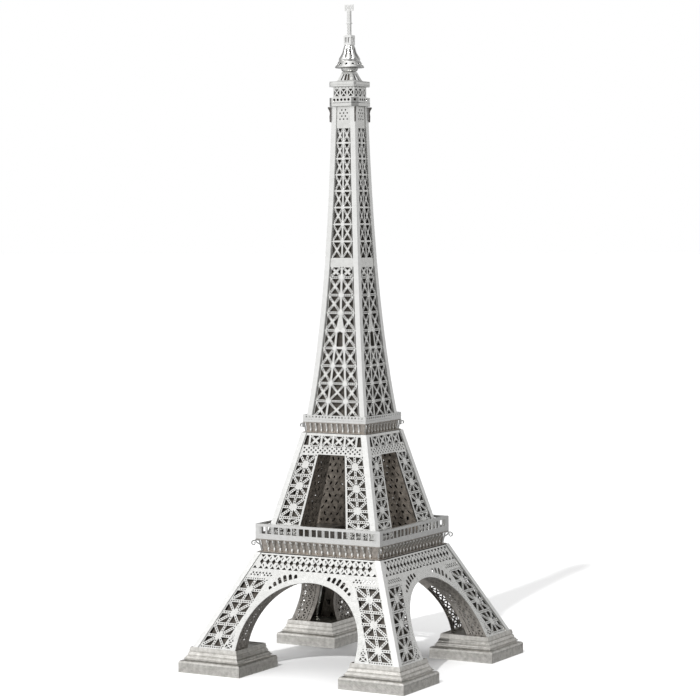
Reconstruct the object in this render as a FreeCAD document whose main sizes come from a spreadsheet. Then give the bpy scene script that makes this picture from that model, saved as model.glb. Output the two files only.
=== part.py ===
import FreeCAD, Part
import math
import os

from FreeCAD import Placement, Rotation, Vector

# Lattice tower kit in thin etched steel sheet: four pedestals, four leaning legs joined by
# arches, two galleries, a tapering spire and a small cupola. Millimetres, +Z up, origin at
# the centre of the footprint. "Half" is a half-width, from the tower's axis to a face.

doc = FreeCAD.newDocument("lattice_tower")
sizes = doc.addObject("Spreadsheet::Sheet", "Sizes")

driving_sizes = {
    # sheet
    "sheet_gauge": 0.25,
    "angle_gauge": 0.3,
    "angle_width": 2.2,
    "sheet_gap": 0.06,
    # pedestals
    "pedestal_centre": 33.5,
    "plinth_half": 13.0,
    "plinth_height": 4.4,
    "pedestal_height": 9.0,
    "pedestal_top_half": 9.85,
    # lower legs and arches
    "leg_foot": 8.76,
    "leg_foot_half": 42.86,
    "leg_lean": 0.498,
    "leg_top": 42.5,
    "arch_radius": 24.7,
    "arch_spring": 3.05,
    "archivolt": 1.8,
    "lining_gap": 1.0,
    "soffit_depth": 8.0,
    "rear_soffit_depth": 12.0,
    "leg_strip_width": 10.4,
    # first gallery
    "gallery_half": 26.0,
    "gallery_base": 47.4,
    "gallery_deck": 49.0,
    "gallery_rail": 52.9,
    "gallery_opening": 9.5,
    # middle legs
    "middle_foot": 49.3,
    "middle_half": 22.82,
    "middle_lean": 0.2513,
    "middle_top": 85.6,
    "gap_foot_half": 10.1,
    "gap_lean": 0.1556,
    "gap_top": 78.1,
    # second gallery
    "upper_gallery_half": 13.2,
    "upper_gallery_base": 89.5,
    "upper_gallery_deck": 89.9,
    "upper_gallery_rail": 92.1,
    # spire, whose half-width is spire_floor + spire_flare * exp(-rise / spire_decay)
    "spire_foot": 90.2,
    "spire_top": 204.0,
    "spire_floor": 3.4,
    "spire_flare": 8.92,
    "spire_decay": 62.5,
    "bay_rise": 6.4,
    "band_foot": 146.1,
    "band_top": 148.8,
    # summit
    "balcony_half": 5.7,
    "balcony_base": 204.05,
    "balcony_top": 207.2,
    "cabin_half": 4.4,
    "cabin_top": 211.1,
    "roof_top": 213.1,
    "cupola_foot_half": 3.6,
    "cupola_top_half": 2.0,
    "cupola_top": 216.6,
    "collar_top": 218.1,
    "ring_top": 220.4,
    "ring_foot_radius": 5.3,
    "ring_top_radius": 4.1,
    "dome_top": 226.3,
    "lantern_top": 229.9,
    "mast_ledge": 234.4,
    "crosshead_base": 238.8,
    "crosshead_top": 241.0,
    "crosshead_half": 1.8,
}
for row, (alias, value) in enumerate(driving_sizes.items(), start=1):
    sizes.set(f"A{row}", alias)
    sizes.set(f"B{row}", str(value))
    sizes.setAlias(f"B{row}", alias)
doc.recompute()


def size(alias):
    return float(sizes.get(alias))


sides = {"front": 0, "right": 90, "back": 180, "left": 270}
corners = {"front_right": 0, "back_right": 90, "back_left": 180, "front_left": 270}
gauge = size("sheet_gauge")
angle_width = size("angle_width")
gap = size("sheet_gap")
panel_setback = size("angle_gauge") + gap
overlap_free = panel_setback + gauge + 2 * gap
parts = []


# ---------------------------------------------------------------- plane geometry helpers


def between(low, high, share):
    return low + (high - low) * share


def mirrored(loops):
    """The loops and their reflections in the panel's centre line."""
    return loops + [[(-x, y) for x, y in reversed(loop)] for loop in loops]


def inset(points, margin):
    """A convex outline drawn in by margin on every side, or None where too little is left."""
    twice_area = sum(
        x0 * y1 - x1 * y0 for (x0, y0), (x1, y1) in zip(points, points[1:] + points[:1])
    )
    if twice_area < 0:
        points = points[::-1]
    lines = []
    for (x0, y0), (x1, y1) in zip(points, points[1:] + points[:1]):
        length = math.hypot(x1 - x0, y1 - y0)
        normal = ((y0 - y1) / length, (x1 - x0) / length)
        lines.append((normal, normal[0] * x0 + normal[1] * y0 + margin))
    drawn = []
    for (n0, d0), (n1, d1) in zip(lines[-1:] + lines[:-1], lines):
        cross = n0[0] * n1[1] - n0[1] * n1[0]
        drawn.append(((d0 * n1[1] - d1 * n0[1]) / cross, (d1 * n0[0] - d0 * n1[0]) / cross))
    least = min(n[0] * x + n[1] * y - d for n, d in lines for x, y in drawn)
    longest = max(math.dist(drawn[0], point) for point in drawn)
    return drawn if least > -1e-6 and longest > 0.25 else None


def cell(low_left, low_right, top_right, top_left, bar, star=False):
    """Openings between the bars of one braced cell: a cross, or an eight-armed star."""
    ring = [low_left, low_right, top_right, top_left]
    if star:
        middles = [
            ((x0 + x1) / 2, (y0 + y1) / 2)
            for (x0, y0), (x1, y1) in zip(ring, ring[1:] + ring[:1])
        ]
        ring = [point for pair in zip(ring, middles) for point in pair]
    centre = (
        (low_left[0] + low_right[0] + top_right[0] + top_left[0]) / 4,
        (low_left[1] + low_right[1] + top_right[1] + top_left[1]) / 4,
    )
    openings = [
        inset([centre, first, second], bar / 2) for first, second in zip(ring, ring[1:] + ring[:1])
    ]
    return [opening for opening in openings if opening]


def diamond(x, y, half_width, half_height):
    return [(x - half_width, y), (x, y - half_height), (x + half_width, y), (x, y + half_height)]


def rectangle(x0, y0, x1, y1):
    return [(x0, y0), (x1, y0), (x1, y1), (x0, y1)]


def segments(loop):
    return [
        Part.LineSegment(Vector(x0, y0, 0), Vector(x1, y1, 0))
        for (x0, y0), (x1, y1) in zip(loop, loop[1:] + loop[:1])
    ]


# ---------------------------------------------------------------- document helpers


def new_body(name, placement=None):
    body = doc.addObject("PartDesign::Body", name)
    body.Label = name
    if placement:
        body.Placement = placement
    parts.append(body)
    return body


def new_group(name, plates):
    """A sub-part made of many alike small plates that don't touch each other."""
    feature = doc.addObject("Part::Feature", name)
    feature.Label = name
    feature.Shape = Part.makeCompound(plates)
    parts.append(feature)


def turned(angle):
    return Placement(Vector(), Rotation(Vector(0, 0, 1), angle))


def sketch_on(body, role, geometry, lift=0.0, lift_cell=None):
    sketch = body.newObject("Sketcher::SketchObject", body.Name + "_sketch")
    plane = [f for f in body.Origin.OriginFeatures if f.Role == role][0]
    sketch.AttachmentSupport = (plane, [""])
    sketch.MapMode = "FlatFace"
    sketch.AttachmentOffset = Placement(Vector(0, 0, lift), Rotation())
    if lift_cell:
        sketch.setExpression(".AttachmentOffset.Base.z", "Sizes." + lift_cell)
    sketch.addGeometry(geometry, False)
    return sketch


def pad(body, sketch, length_cell=None, length=None, both_ways=False, downwards=False):
    feature = body.newObject("PartDesign::Pad", body.Name + "_pad")
    feature.Profile = sketch
    feature.Refine = False
    if length_cell:
        feature.setExpression("Length", "Sizes." + length_cell)
    else:
        feature.Length = length
    if both_ways:
        feature.SideType = "Symmetric"
    feature.Reversed = downwards
    sketch.Visibility = False
    return feature


def pocket(body, sketch, length):
    """A cut that runs the same way on both sides of its sketch."""
    feature = body.newObject("PartDesign::Pocket", body.Name + "_pocket")
    feature.Profile = sketch
    feature.Refine = False
    feature.SideType = "Symmetric"
    feature.Length = length
    return feature


def square(half):
    return segments(rectangle(-half, -half, half, half))


def origin_axis(body, role):
    return ([f for f in body.Origin.OriginFeatures if f.Role == role][0], [""])


def mitred_strip(body, profile):
    """A strip of sheet, its section given as (half-width, height), mitred round a square."""
    section = sketch_on(body, "XZ_Plane", segments(profile))
    path = sketch_on(body, "XY_Plane", square(profile[0][0]))
    pipe = body.newObject("PartDesign::AdditivePipe", body.Name + "_pipe")
    pipe.Profile = section
    pipe.Spine = (path, ["Edge1", "Edge2", "Edge3", "Edge4"])
    pipe.Transition = "Right corner"
    pipe.Refine = False


def turned_body(name, profile):
    """A round piece, its section given as (radius, height)."""
    body = new_body(name)
    section = sketch_on(body, "XZ_Plane", segments(profile))
    turning = body.newObject("PartDesign::Revolution", name + "_turning")
    turning.Profile = section
    turning.ReferenceAxis = (section, ["V_Axis"])
    turning.Angle = 360
    turning.Refine = False
    return body


def repeat_round(body, cut, count):
    """Repeats a cut that goes through both sides, count times in half a turn."""
    pattern = body.newObject("PartDesign::PolarPattern", body.Name + "_pattern")
    pattern.Originals = [cut]
    pattern.Axis = origin_axis(body, "Z_Axis")
    pattern.Angle = 180 * (count - 1) / count
    pattern.Occurrences = count
    pattern.Refine = False
    body.Tip = pattern


def loft(body, kind, sections):
    feature = body.newObject("PartDesign::" + kind, body.Name + "_loft")
    feature.Profile = sections[0]
    feature.Sections = sections[1:]
    feature.Ruled = True
    feature.Refine = False
    return feature


# ---------------------------------------------------------------- leaning faces


class LeaningFace:
    """A flat face that leans in as it rises. Its sheet is drawn flat, x across and s up it."""

    def __init__(self, foot, foot_half, lean, top):
        self.foot = foot
        self.foot_half = foot_half
        self.lean = lean
        self.stretch = math.hypot(1, lean)
        self.length = (top - foot) * self.stretch

    def slant(self, height):
        return (height - self.foot) * self.stretch

    def half(self, s):
        return self.foot_half - self.lean * s / self.stretch

    def placement(self, turn):
        tilt = Rotation(Vector(1, 0, 0), math.degrees(math.atan2(1, self.lean)))
        return turned(turn).multiply(Placement(Vector(0, -self.foot_half, self.foot), tilt))


leg_face = LeaningFace(
    size("leg_foot"), size("leg_foot_half"), size("leg_lean"), size("leg_top")
)
middle_face = LeaningFace(
    size("middle_foot"), size("middle_half"), size("middle_lean"), size("middle_top")
)


# ---------------------------------------------------------------- pedestals


def pedestal_places():
    centre = size("pedestal_centre")
    return {
        "front_right": Vector(centre, -centre, 0),
        "back_right": Vector(centre, centre, 0),
        "back_left": Vector(-centre, centre, 0),
        "front_left": Vector(-centre, -centre, 0),
    }


def make_pedestals():
    outer = size("plinth_half")
    top = size("plinth_height")
    groove = outer - 1.4
    plinth = [
        (outer, 0),
        (outer, top - 0.9),
        (outer - 0.5, top - 0.15),
        (groove, top),
        (groove, top - gauge),
        (outer - 0.65, top - 0.45),
        (outer - gauge, top - 1.0),
        (outer - gauge, 0),
    ]
    rim = size("pedestal_top_half")
    high = size("pedestal_height")
    low = top + gap
    steps = [
        (groove, low),
        (groove - 0.1, low + 0.5),
        (groove - 0.75, low + 1.3),
        (groove - 0.85, low + 1.9),
        (rim + 0.25, low + 2.9),
        (rim + 0.15, low + 3.4),
        (rim, high),
    ]
    moulding = steps + [(d - gauge, z) for d, z in reversed(steps)]
    seat = size("leg_foot") - gap - gauge
    for corner, place in pedestal_places().items():
        stand = Placement(place, Rotation())
        mitred_strip(new_body("pedestal_plinth_" + corner, stand), plinth)
        cap = new_body("pedestal_moulding_" + corner, stand)
        mitred_strip(cap, moulding)
        plate = sketch_on(cap, "XY_Plane", square(rim - gauge / 2), seat)
        pad(cap, plate, "sheet_gauge")


# ---------------------------------------------------------------- lower legs


def leg_strip(s):
    """Outer and inner edge of the braced strip of a leg, at s up the face."""
    outer = leg_face.half(s) - angle_width
    return outer, outer - size("leg_strip_width")


def trellis_openings(low, high, pitch):
    """Diamond trellis between two heights of the face: a middle row and half rows."""
    rise = (high - low) / 4
    middle = (low + high) / 2
    openings = []
    for step in range(-12, 13):
        x = step * pitch
        reach = abs(x) + pitch * 0.45 + 0.3
        if reach < leg_face.half(high) - angle_width:
            openings.append(inset([(x - pitch / 2, high), (x, high - rise), (x + pitch / 2, high)], 0.3))
        if reach < leg_face.half(middle) - angle_width:
            openings.append(diamond(x, middle, 0.8, 1.0))
        if reach < leg_face.half(low) - angle_width:
            openings.append(inset([(x - pitch / 2, low), (x + pitch / 2, low), (x, low + rise)], 0.3))
        if abs(x + pitch / 2) + 0.5 < leg_face.half(high) - angle_width:
            openings.append(diamond(x + pitch / 2, middle + rise, 0.22, 0.5))
            openings.append(diamond(x + pitch / 2, middle - rise, 0.22, 0.5))
    return openings


def perforated_band(low, high, inner, outer, pitch, half):
    """Two staggered rows of small diamonds."""
    openings = []
    for row, height in enumerate((low + half + 0.1, high - half - 0.1)):
        x = inner + half + 0.2 + row * pitch / 2
        while x + half + 0.2 < outer:
            openings.append(diamond(x, height, half, half))
            x += pitch
    return openings


def spandrel_slots():
    """Round-topped slots that stand on the arch, from near the crown down to the haunch."""
    spring = size("arch_spring")
    foot_radius = size("arch_radius") + size("archivolt") + 0.15
    half_width = 0.58
    slots = []
    for step, length in enumerate((0.9, 1.3, 1.75, 1.8, 0.9)):
        angle = math.radians(14.5 + 4.5 * step)
        along = Vector(math.sin(angle), math.cos(angle), 0)
        across = Vector(math.cos(angle), -math.sin(angle), 0)
        foot = Vector(0, spring, 0) + along * foot_radius
        head = foot + along * (length - half_width * 0.4)
        points = [foot - across * half_width, head - across * half_width]
        points += [head + across * half_width, foot + across * half_width]
        for sign in (1, -1):
            a, b, c, d = [Vector(sign * p.x, p.y, 0) for p in points]
            crown = Vector(sign * head.x, head.y, 0)
            crown += Vector(sign * along.x, along.y, 0) * half_width
            slots += [Part.LineSegment(a, b), Part.Arc(b, crown, c)]
            slots += [Part.LineSegment(c, d), Part.LineSegment(d, a)]
    return slots


def arch_panel_geometry():
    spring = size("arch_spring")
    radius = size("arch_radius")
    top = leg_face.length
    low_edge = leg_face.half(0) - overlap_free
    top_edge = leg_face.half(top) - overlap_free
    left = [(-radius, spring), (-radius, 0), (-low_edge, 0), (-top_edge, top)]
    right = [(top_edge, top), (low_edge, 0), (radius, 0), (radius, spring)]
    points = [Vector(x, y, 0) for x, y in left + right]
    outline = [Part.LineSegment(a, b) for a, b in zip(points, points[1:])]
    outline.append(
        Part.Arc(points[-1], Vector(0, spring + radius, 0), points[0])
    )

    openings = []
    bounds = [leg_face.slant(z) for z in (9.6, 17.63, 25.67, 33.7)]
    for low, high in zip(bounds, bounds[1:]):
        (low_out, low_in), (high_out, high_in) = leg_strip(low), leg_strip(high)
        openings += cell(
            (low_in, low), (low_out, low), (high_out, high), (high_in, high), 0.95, star=True
        )
    foot_edge = radius + size("archivolt")
    for low, high in ((0.8, 3.3), (3.3, 5.8)):
        openings += cell(
            (foot_edge, low),
            (leg_strip(low)[1], low),
            (leg_strip(high)[1], high),
            (foot_edge, high),
            0.45,
        )
    band_low, band_high = leg_face.slant(34.5), leg_face.slant(36.2)
    band_outer, band_inner = leg_strip(band_high)
    openings += perforated_band(band_low, band_high, band_inner, band_outer, 1.45, 0.42)
    openings = mirrored(openings)
    openings += trellis_openings(leg_face.slant(37.1), leg_face.slant(42.1), 2.5)
    geometry = outline + spandrel_slots()
    for opening in openings:
        geometry += segments(opening)
    return geometry


def make_arch_panels():
    geometry = arch_panel_geometry()
    for side, turn in sides.items():
        body = new_body("arch_panel_" + side, leg_face.placement(turn))
        sketch = sketch_on(body, "XY_Plane", geometry, -panel_setback)
        pad(body, sketch, "sheet_gauge", downwards=True)


def make_soffits():
    """A strip follows each arch and runs level into the leg from the back of its panel."""
    spring = size("arch_spring")
    inner = size("arch_radius")
    outer = inner + gauge
    foot = 0.1
    geometry = [
        Part.LineSegment(Vector(-inner, spring, 0), Vector(-inner, foot, 0)),
        Part.LineSegment(Vector(-inner, foot, 0), Vector(-outer, foot, 0)),
        Part.LineSegment(Vector(-outer, foot, 0), Vector(-outer, spring, 0)),
        Part.Arc(
            Vector(-outer, spring, 0), Vector(0, spring + outer, 0), Vector(outer, spring, 0)
        ),
        Part.LineSegment(Vector(outer, spring, 0), Vector(outer, foot, 0)),
        Part.LineSegment(Vector(outer, foot, 0), Vector(inner, foot, 0)),
        Part.LineSegment(Vector(inner, foot, 0), Vector(inner, spring, 0)),
        Part.Arc(
            Vector(inner, spring, 0), Vector(0, spring + inner, 0), Vector(-inner, spring, 0)
        ),
    ]
    stretch = leg_face.stretch
    for side, turn in sides.items():
        body = new_body("arch_soffit_" + side, leg_face.placement(turn))
        sketch = sketch_on(body, "XY_Plane", geometry, -(panel_setback + gauge + gap))
        depth = "rear_soffit_depth" if side == "back" else "soffit_depth"
        strip = pad(body, sketch, depth)
        strip.UseCustomVector = True
        strip.Direction = Vector(0, leg_face.lean / stretch, -1 / stretch)
        strip.AlongSketchNormal = False


# ---------------------------------------------------------------- corner angles


def angle_section(half, width, thickness):
    inner = half - thickness
    end = half - width
    return [
        (half, -half),
        (half, -end),
        (inner, -end),
        (inner, -inner),
        (end, -inner),
        (end, -half),
    ]


def make_angles(stem, stations, width):
    """L-section strips that cover the four corners through the stations (height, half)."""
    thickness = size("angle_gauge")
    for corner, turn in corners.items():
        body = new_body(stem + "_" + corner, turned(turn))
        sections = [
            sketch_on(body, "XY_Plane", segments(angle_section(half, width, thickness)), height)
            for height, half in stations
        ]
        loft(body, "AdditiveLoft", sections)


def make_leg_linings():
    """Plain plates close behind the braced strips, one per leg and face."""
    depth = panel_setback + gauge + size("lining_gap")
    levels = [0.4, leg_face.slant(34.0)]
    plates = []
    for turn in sides.values():
        for sign in (-1, 1):
            (low_out, low_in), (high_out, high_in) = leg_strip(levels[0]), leg_strip(levels[1])
            outline = [
                Vector(sign * (low_in + 0.6), levels[0], -depth),
                Vector(sign * (low_out - 0.2), levels[0], -depth),
                Vector(sign * (high_out - 0.2), levels[1], -depth),
                Vector(sign * (high_in + 1.2), levels[1], -depth),
            ]
            face = Part.Face(Part.makePolygon(outline + outline[:1]))
            plate = face.extrude(Vector(0, 0, -gauge))
            plate.Placement = leg_face.placement(turn)
            plates.append(plate)
    new_group("leg_linings", plates)


def make_leg_angles():
    stations = [
        (size("leg_foot"), leg_face.half(0)),
        (size("leg_top"), leg_face.half(leg_face.length)),
    ]
    make_angles("leg_angle", stations, angle_width)


# ---------------------------------------------------------------- galleries


def make_railing(name, half_cell, base_cell, rail_cell, openings):
    """One strip folded into a square, its windows cut through all four walls."""
    half = size(half_cell)
    base = size(base_cell)
    body = new_body(name)
    inner = half - gauge
    ring = square(half) + square(inner)
    walls = pad(body, sketch_on(body, "XY_Plane", ring, base, base_cell), length=1)
    walls.setExpression("Length", f"Sizes.{rail_cell} - Sizes.{base_cell}")
    geometry = []
    for opening in openings:
        geometry += segments(opening)
    for role in ("XZ_Plane", "YZ_Plane"):
        pocket(body, sketch_on(body, role, geometry), 4 * half)


def make_deck(name, deck_cell, half, opening):
    body = new_body(name)
    sketch = sketch_on(body, "XY_Plane", square(half) + square(opening), size(deck_cell), deck_cell)
    pad(body, sketch, "sheet_gauge")


def make_cornice(name, lip_half, web_foot, web_head, head_half, foot, head):
    """A cove of sheet below a gallery: lip, web that flares a little, and head flange."""
    mitred_strip(
        new_body(name),
        [
            (lip_half, foot),
            (lip_half, foot + gauge),
            (web_foot + gauge, foot + gauge),
            (web_head + gauge, head - gauge),
            (head_half, head - gauge),
            (head_half, head),
            (web_head, head),
            (web_foot, foot),
        ],
    )


def bracket_profile(root_foot, root_head, tip_head, foot, head, thickness):
    """Outline in (out, up) of one curved console, a band that bows in from tip to foot."""
    bow = Vector(between(root_foot, tip_head, 0.42), between(foot, head, 0.5), 0)
    tip = Vector(tip_head, head, 0)
    toe = Vector(root_foot + thickness * 1.3, foot, 0)
    heel = Vector(root_foot, foot, 0)
    neck = Vector(root_head, head, 0)
    return [
        Part.Arc(toe, bow, tip),
        Part.LineSegment(tip, neck),
        Part.LineSegment(neck, heel),
        Part.LineSegment(heel, toe),
    ]


def side_consoles(profile, count, pitch, thickness):
    """Rows of consoles on the four sides, each a plate standing square to its wall."""
    face = Part.Face(Part.Wire([edge.toShape() for edge in profile]))
    face.rotate(Vector(), Vector(1, 0, 0), 90)
    face.rotate(Vector(), Vector(0, 0, 1), -90)
    plate = face.extrude(Vector(thickness, 0, 0))
    plates = []
    for turn in sides.values():
        for step in range(count):
            copy = plate.copy()
            copy.translate(Vector((step - (count - 1) / 2) * pitch - thickness / 2, 0, 0))
            copy.rotate(Vector(), Vector(0, 0, 1), turn)
            plates.append(copy)
    return plates


def corner_consoles(profile, thickness):
    """One console on each diagonal, under the corners of a gallery."""
    face = Part.Face(Part.Wire([edge.toShape() for edge in profile]))
    face.rotate(Vector(), Vector(1, 0, 0), 90)
    plate = face.extrude(Vector(0, thickness, 0))
    plate.translate(Vector(0, -thickness / 2, 0))
    plates = []
    for turn in corners.values():
        copy = plate.copy()
        copy.rotate(Vector(), Vector(0, 0, 1), turn - 45)
        plates.append(copy)
    return plates


def balustrade_windows():
    low = size("gallery_deck") + 0.35
    high = size("gallery_rail") - 0.95
    pitch = 5.35
    count = 9
    loops = []
    for step in range(count):
        centre = (step - (count - 1) / 2) * pitch
        for side in (-1, 1):
            x = centre + side * 1.21
            loops.append(rectangle(x - 0.9, low, x + 0.9, high))
    return loops


def upper_windows():
    low = size("upper_gallery_rail") - 0.95
    pitch = 1.37
    count = 18
    loops = []
    for step in range(count):
        x = (step - (count - 1) / 2) * pitch
        loops.append(rectangle(x - 0.35, low, x + 0.35, low + 0.55))
    return loops


def make_first_gallery():
    half = size("gallery_half")
    deck_half = half - gauge - gap
    make_railing(
        "gallery_railing", "gallery_half", "gallery_base", "gallery_rail", balustrade_windows()
    )
    make_deck("gallery_deck", "gallery_deck", deck_half, size("gallery_opening"))
    foot = size("leg_top") + gap
    head = size("gallery_base") - gap
    web_foot, web_head = half - 2.2, half - 1.6
    make_cornice("gallery_cornice", half - 0.7, web_foot, web_head, half, foot, head)
    low, high = foot + gauge + 0.02, head - gauge - 0.02
    profile = bracket_profile(
        web_foot + gauge + gap, web_head + gauge + gap, half, low, high, 0.5
    )
    consoles = side_consoles(profile, 18, 2.5, 0.3)
    reach = math.sqrt(2)
    profile = bracket_profile(
        (web_foot + gauge) * reach + 0.1,
        (web_head + gauge) * reach + 0.1,
        half * reach + 1.6,
        low,
        high,
        0.9,
    )
    new_group("gallery_brackets", consoles + corner_consoles(profile, 0.3))


def make_second_gallery():
    half = size("upper_gallery_half")
    make_railing(
        "upper_gallery_railing",
        "upper_gallery_half",
        "upper_gallery_base",
        "upper_gallery_rail",
        upper_windows(),
    )
    make_deck("upper_gallery_deck", "upper_gallery_deck", half - gauge - gap, 6.0)
    foot = size("middle_top") + gap
    head = size("upper_gallery_base") - gap
    web_foot, web_head = half - 1.35, half - 1.0
    make_cornice("upper_cornice", half - 0.1, web_foot, web_head, half, foot, head)
    low, high = foot + gauge + 0.02, head - gauge - 0.02
    profile = bracket_profile(
        web_foot + gauge + gap, web_head + gauge + gap, half, low, high, 0.4
    )
    consoles = side_consoles(profile, 10, 2.25, 0.25)
    reach = math.sqrt(2)
    profile = bracket_profile(
        (web_foot + gauge) * reach + 0.1,
        (web_head + gauge) * reach + 0.1,
        half * reach + 0.8,
        low,
        high,
        0.6,
    )
    new_group("upper_brackets", consoles + corner_consoles(profile, 0.25))


# ---------------------------------------------------------------- middle legs


def gap_half(height):
    return size("gap_foot_half") - size("gap_lean") * (height - size("middle_foot"))


def middle_panel_geometry():
    foot, gap_top = size("middle_foot"), size("gap_top")
    length = middle_face.length
    notch = middle_face.slant(gap_top)
    outline = [
        (-(middle_face.half(0) - overlap_free), 0),
        (-gap_half(foot), 0),
        (-gap_half(gap_top), notch),
        (gap_half(gap_top), notch),
        (gap_half(foot), 0),
        (middle_face.half(0) - overlap_free, 0),
        (middle_face.half(length) - overlap_free, length),
        (-(middle_face.half(length) - overlap_free), length),
    ]
    openings = []
    levels = [49.6, 55.15, 62.8, 70.45, gap_top + 0.05]
    for low, high in zip(levels, levels[1:]):
        corners_of_cell = []
        for level in (low, high):
            s = middle_face.slant(level)
            corners_of_cell.append((gap_half(level) + 0.35, s))
            corners_of_cell.append((middle_face.half(s) - angle_width, s))
        low_in, low_out, high_in, high_out = corners_of_cell
        openings += cell(low_in, low_out, high_out, high_in, 0.9, star=True)
    openings = mirrored(openings)

    band = [middle_face.slant(z) for z in (78.75, 79.5, 80.25)]
    for row, s in enumerate(band):
        reach = middle_face.half(s) - angle_width - 0.5
        steps = int(reach / 0.97)
        for step in range(-steps, steps + 1):
            if (step + row) % 2 == 0:
                openings.append(diamond(step * 0.97, s, 0.42, 0.42))

    low, high = middle_face.slant(80.9), middle_face.slant(85.1)
    pitch = 4.9
    for step in range(-2, 2):
        left = step * pitch
        openings += cell(
            (left, low), (left + pitch, low), (left + pitch, high), (left, high), 0.75
        )
    for sign in (-1, 1):
        low_reach = middle_face.half(low) - angle_width
        high_reach = middle_face.half(high) - angle_width
        corner = [(sign * 2 * pitch, low), (sign * low_reach, low), (sign * high_reach, high)]
        corner.append((sign * 2 * pitch, high))
        opening = inset(corner, 0.35)
        if opening:
            openings.append(opening)
    geometry = segments(outline)
    for opening in openings:
        geometry += segments(opening)
    return geometry


def make_middle_section():
    geometry = middle_panel_geometry()
    for side, turn in sides.items():
        body = new_body("middle_panel_" + side, middle_face.placement(turn))
        sketch = sketch_on(body, "XY_Plane", geometry, -panel_setback)
        pad(body, sketch, "sheet_gauge", downwards=True)
    stations = [
        (size("middle_foot"), middle_face.half(0)),
        (size("middle_top"), middle_face.half(middle_face.length)),
    ]
    make_angles("middle_angle", stations, angle_width)
    for corner, turn in corners.items():
        body = new_body("middle_inner_" + corner, turned(turn))
        sections = []
        for height in (size("middle_foot"), size("gap_top")):
            near = gap_half(height)
            far = middle_face.half(middle_face.slant(height)) - overlap_free - gauge
            back = near + gauge
            loop = [(near, -near), (far, -near), (far, -back), (back, -back), (back, -far)]
            loop.append((near, -far))
            sections.append(sketch_on(body, "XY_Plane", segments(loop), height))
        loft(body, "AdditiveLoft", sections)


# ---------------------------------------------------------------- spire


def spire_half(height):
    rise = height - size("spire_foot")
    return size("spire_floor") + size("spire_flare") * math.exp(-rise / size("spire_decay"))


def spire_levels():
    """Heights of the horizontal bars, below and above the plain band."""
    bay = size("bay_rise")
    lower = [size("spire_foot") + 0.6] + [97.2 + bay * step for step in range(8)]
    upper = [size("band_top")]
    while len(upper) < 9:
        upper.append(upper[-1] + bay - 0.1 * len(upper))
    return lower, upper


def node_half(height):
    """Where the inner columns stand: they close on the centre line as the spire narrows."""
    return 3.6 - 0.0887 * (height - 97.2)


def spire_openings():
    lower, upper = spire_levels()
    top_bay = lower + [size("band_foot")]
    openings = []
    for low, high in zip(top_bay, top_bay[1:]):
        fields = [spire_half(z) - angle_width - 0.45 for z in (low, high)]
        nodes = [max(node_half(z), 0.0) if z < 129 else 0.0 for z in (low, high)]
        openings += mirrored(
            cell(
                (nodes[0], low), (fields[0], low), (fields[1], high), (nodes[1], high), 0.75
            )
        )
        if nodes[1] > 1.6:
            openings += cell(
                (-nodes[0], low), (nodes[0], low), (nodes[1], high), (-nodes[1], high), 0.7
            )
        elif nodes[0] > 0.9:
            slot = [(-nodes[0], low), (nodes[0], low), (nodes[1] + 0.2, high)]
            slot.append((-nodes[1] - 0.2, high))
            openings.append(inset(slot, 0.5))
    for low, high in zip(upper, upper[1:]):
        fields = [spire_half(z) - angle_width - 0.35 for z in (low, high)]
        openings += mirrored(
            cell((0, low), (fields[0], low), (fields[1], high), (0, high), 0.6)
        )
    for row, height in enumerate((199.4, 200.5, 201.6, 202.7)):
        for step in range(-1, 2):
            x = step * 1.5 + (0.75 if row % 2 else 0.0)
            if abs(x) < 2.0:
                openings.append(diamond(x, height, 0.35, 0.35))
    return [opening for opening in openings if opening]


def spire_stations():
    lower, upper = spire_levels()
    levels = [size("spire_foot")] + lower[1:] + upper[::2] + [size("spire_top")]
    return [(level, spire_half(level)) for level in levels]


def make_spire():
    stations = spire_stations()
    make_angles("spire_angle", stations, 2.0)
    setback = panel_setback
    outer = [(-(half - setback), height) for height, half in stations]
    inner = [(-(half - setback - gauge), height) for height, half in reversed(stations)]
    profile = segments(outer + inner)
    wide = 2 * size("spire_flare") + 20
    edges = [(half - overlap_free, height) for height, half in stations]
    edges = [(edges[0][0], edges[0][1] - 1)] + edges + [(edges[-1][0], edges[-1][1] + 1)]
    trim = edges + [(wide, edges[-1][1]), (wide, edges[0][1])]
    geometry = []
    for opening in mirrored([trim]) + spire_openings():
        geometry += segments(opening)
    for side, turn in sides.items():
        body = new_body("spire_panel_" + side, turned(turn))
        sheet = pad(body, sketch_on(body, "YZ_Plane", profile), length=wide, both_ways=True)
        sheet.Visibility = False
        pocket(body, sketch_on(body, "XZ_Plane", geometry), wide * 2)


def make_spire_lining():
    """A plain square tube inside the four lattice sheets, tapering with them."""
    body = new_body("spire_lining")
    less = panel_setback + gauge + size("lining_gap")
    foot, top = size("spire_foot") + 0.5, size("spire_top") - 0.5
    levels = [foot] + [station[0] for station in spire_stations()[1:-1]] + [top]
    for kind, wall in (("AdditiveLoft", 0), ("SubtractiveLoft", gauge)):
        sections = [
            sketch_on(body, "XY_Plane", square(spire_half(level) - less - wall), level)
            for level in levels
        ]
        loft(body, kind, sections)


# ---------------------------------------------------------------- summit


def make_square_tube(name, half, foot, top, openings, floor=False):
    """A folded square wall, with a floor where the strip folds in."""
    body = new_body(name)
    inner = half - gauge
    ring = square(half) + square(inner)
    pad(body, sketch_on(body, "XY_Plane", ring, foot), length=top - foot)
    if floor:
        pad(body, sketch_on(body, "XY_Plane", square(half), foot), "sheet_gauge")
    geometry = []
    for opening in openings:
        geometry += segments(opening)
    if geometry:
        for role in ("XZ_Plane", "YZ_Plane"):
            pocket(body, sketch_on(body, role, geometry), 4 * half)


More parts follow.
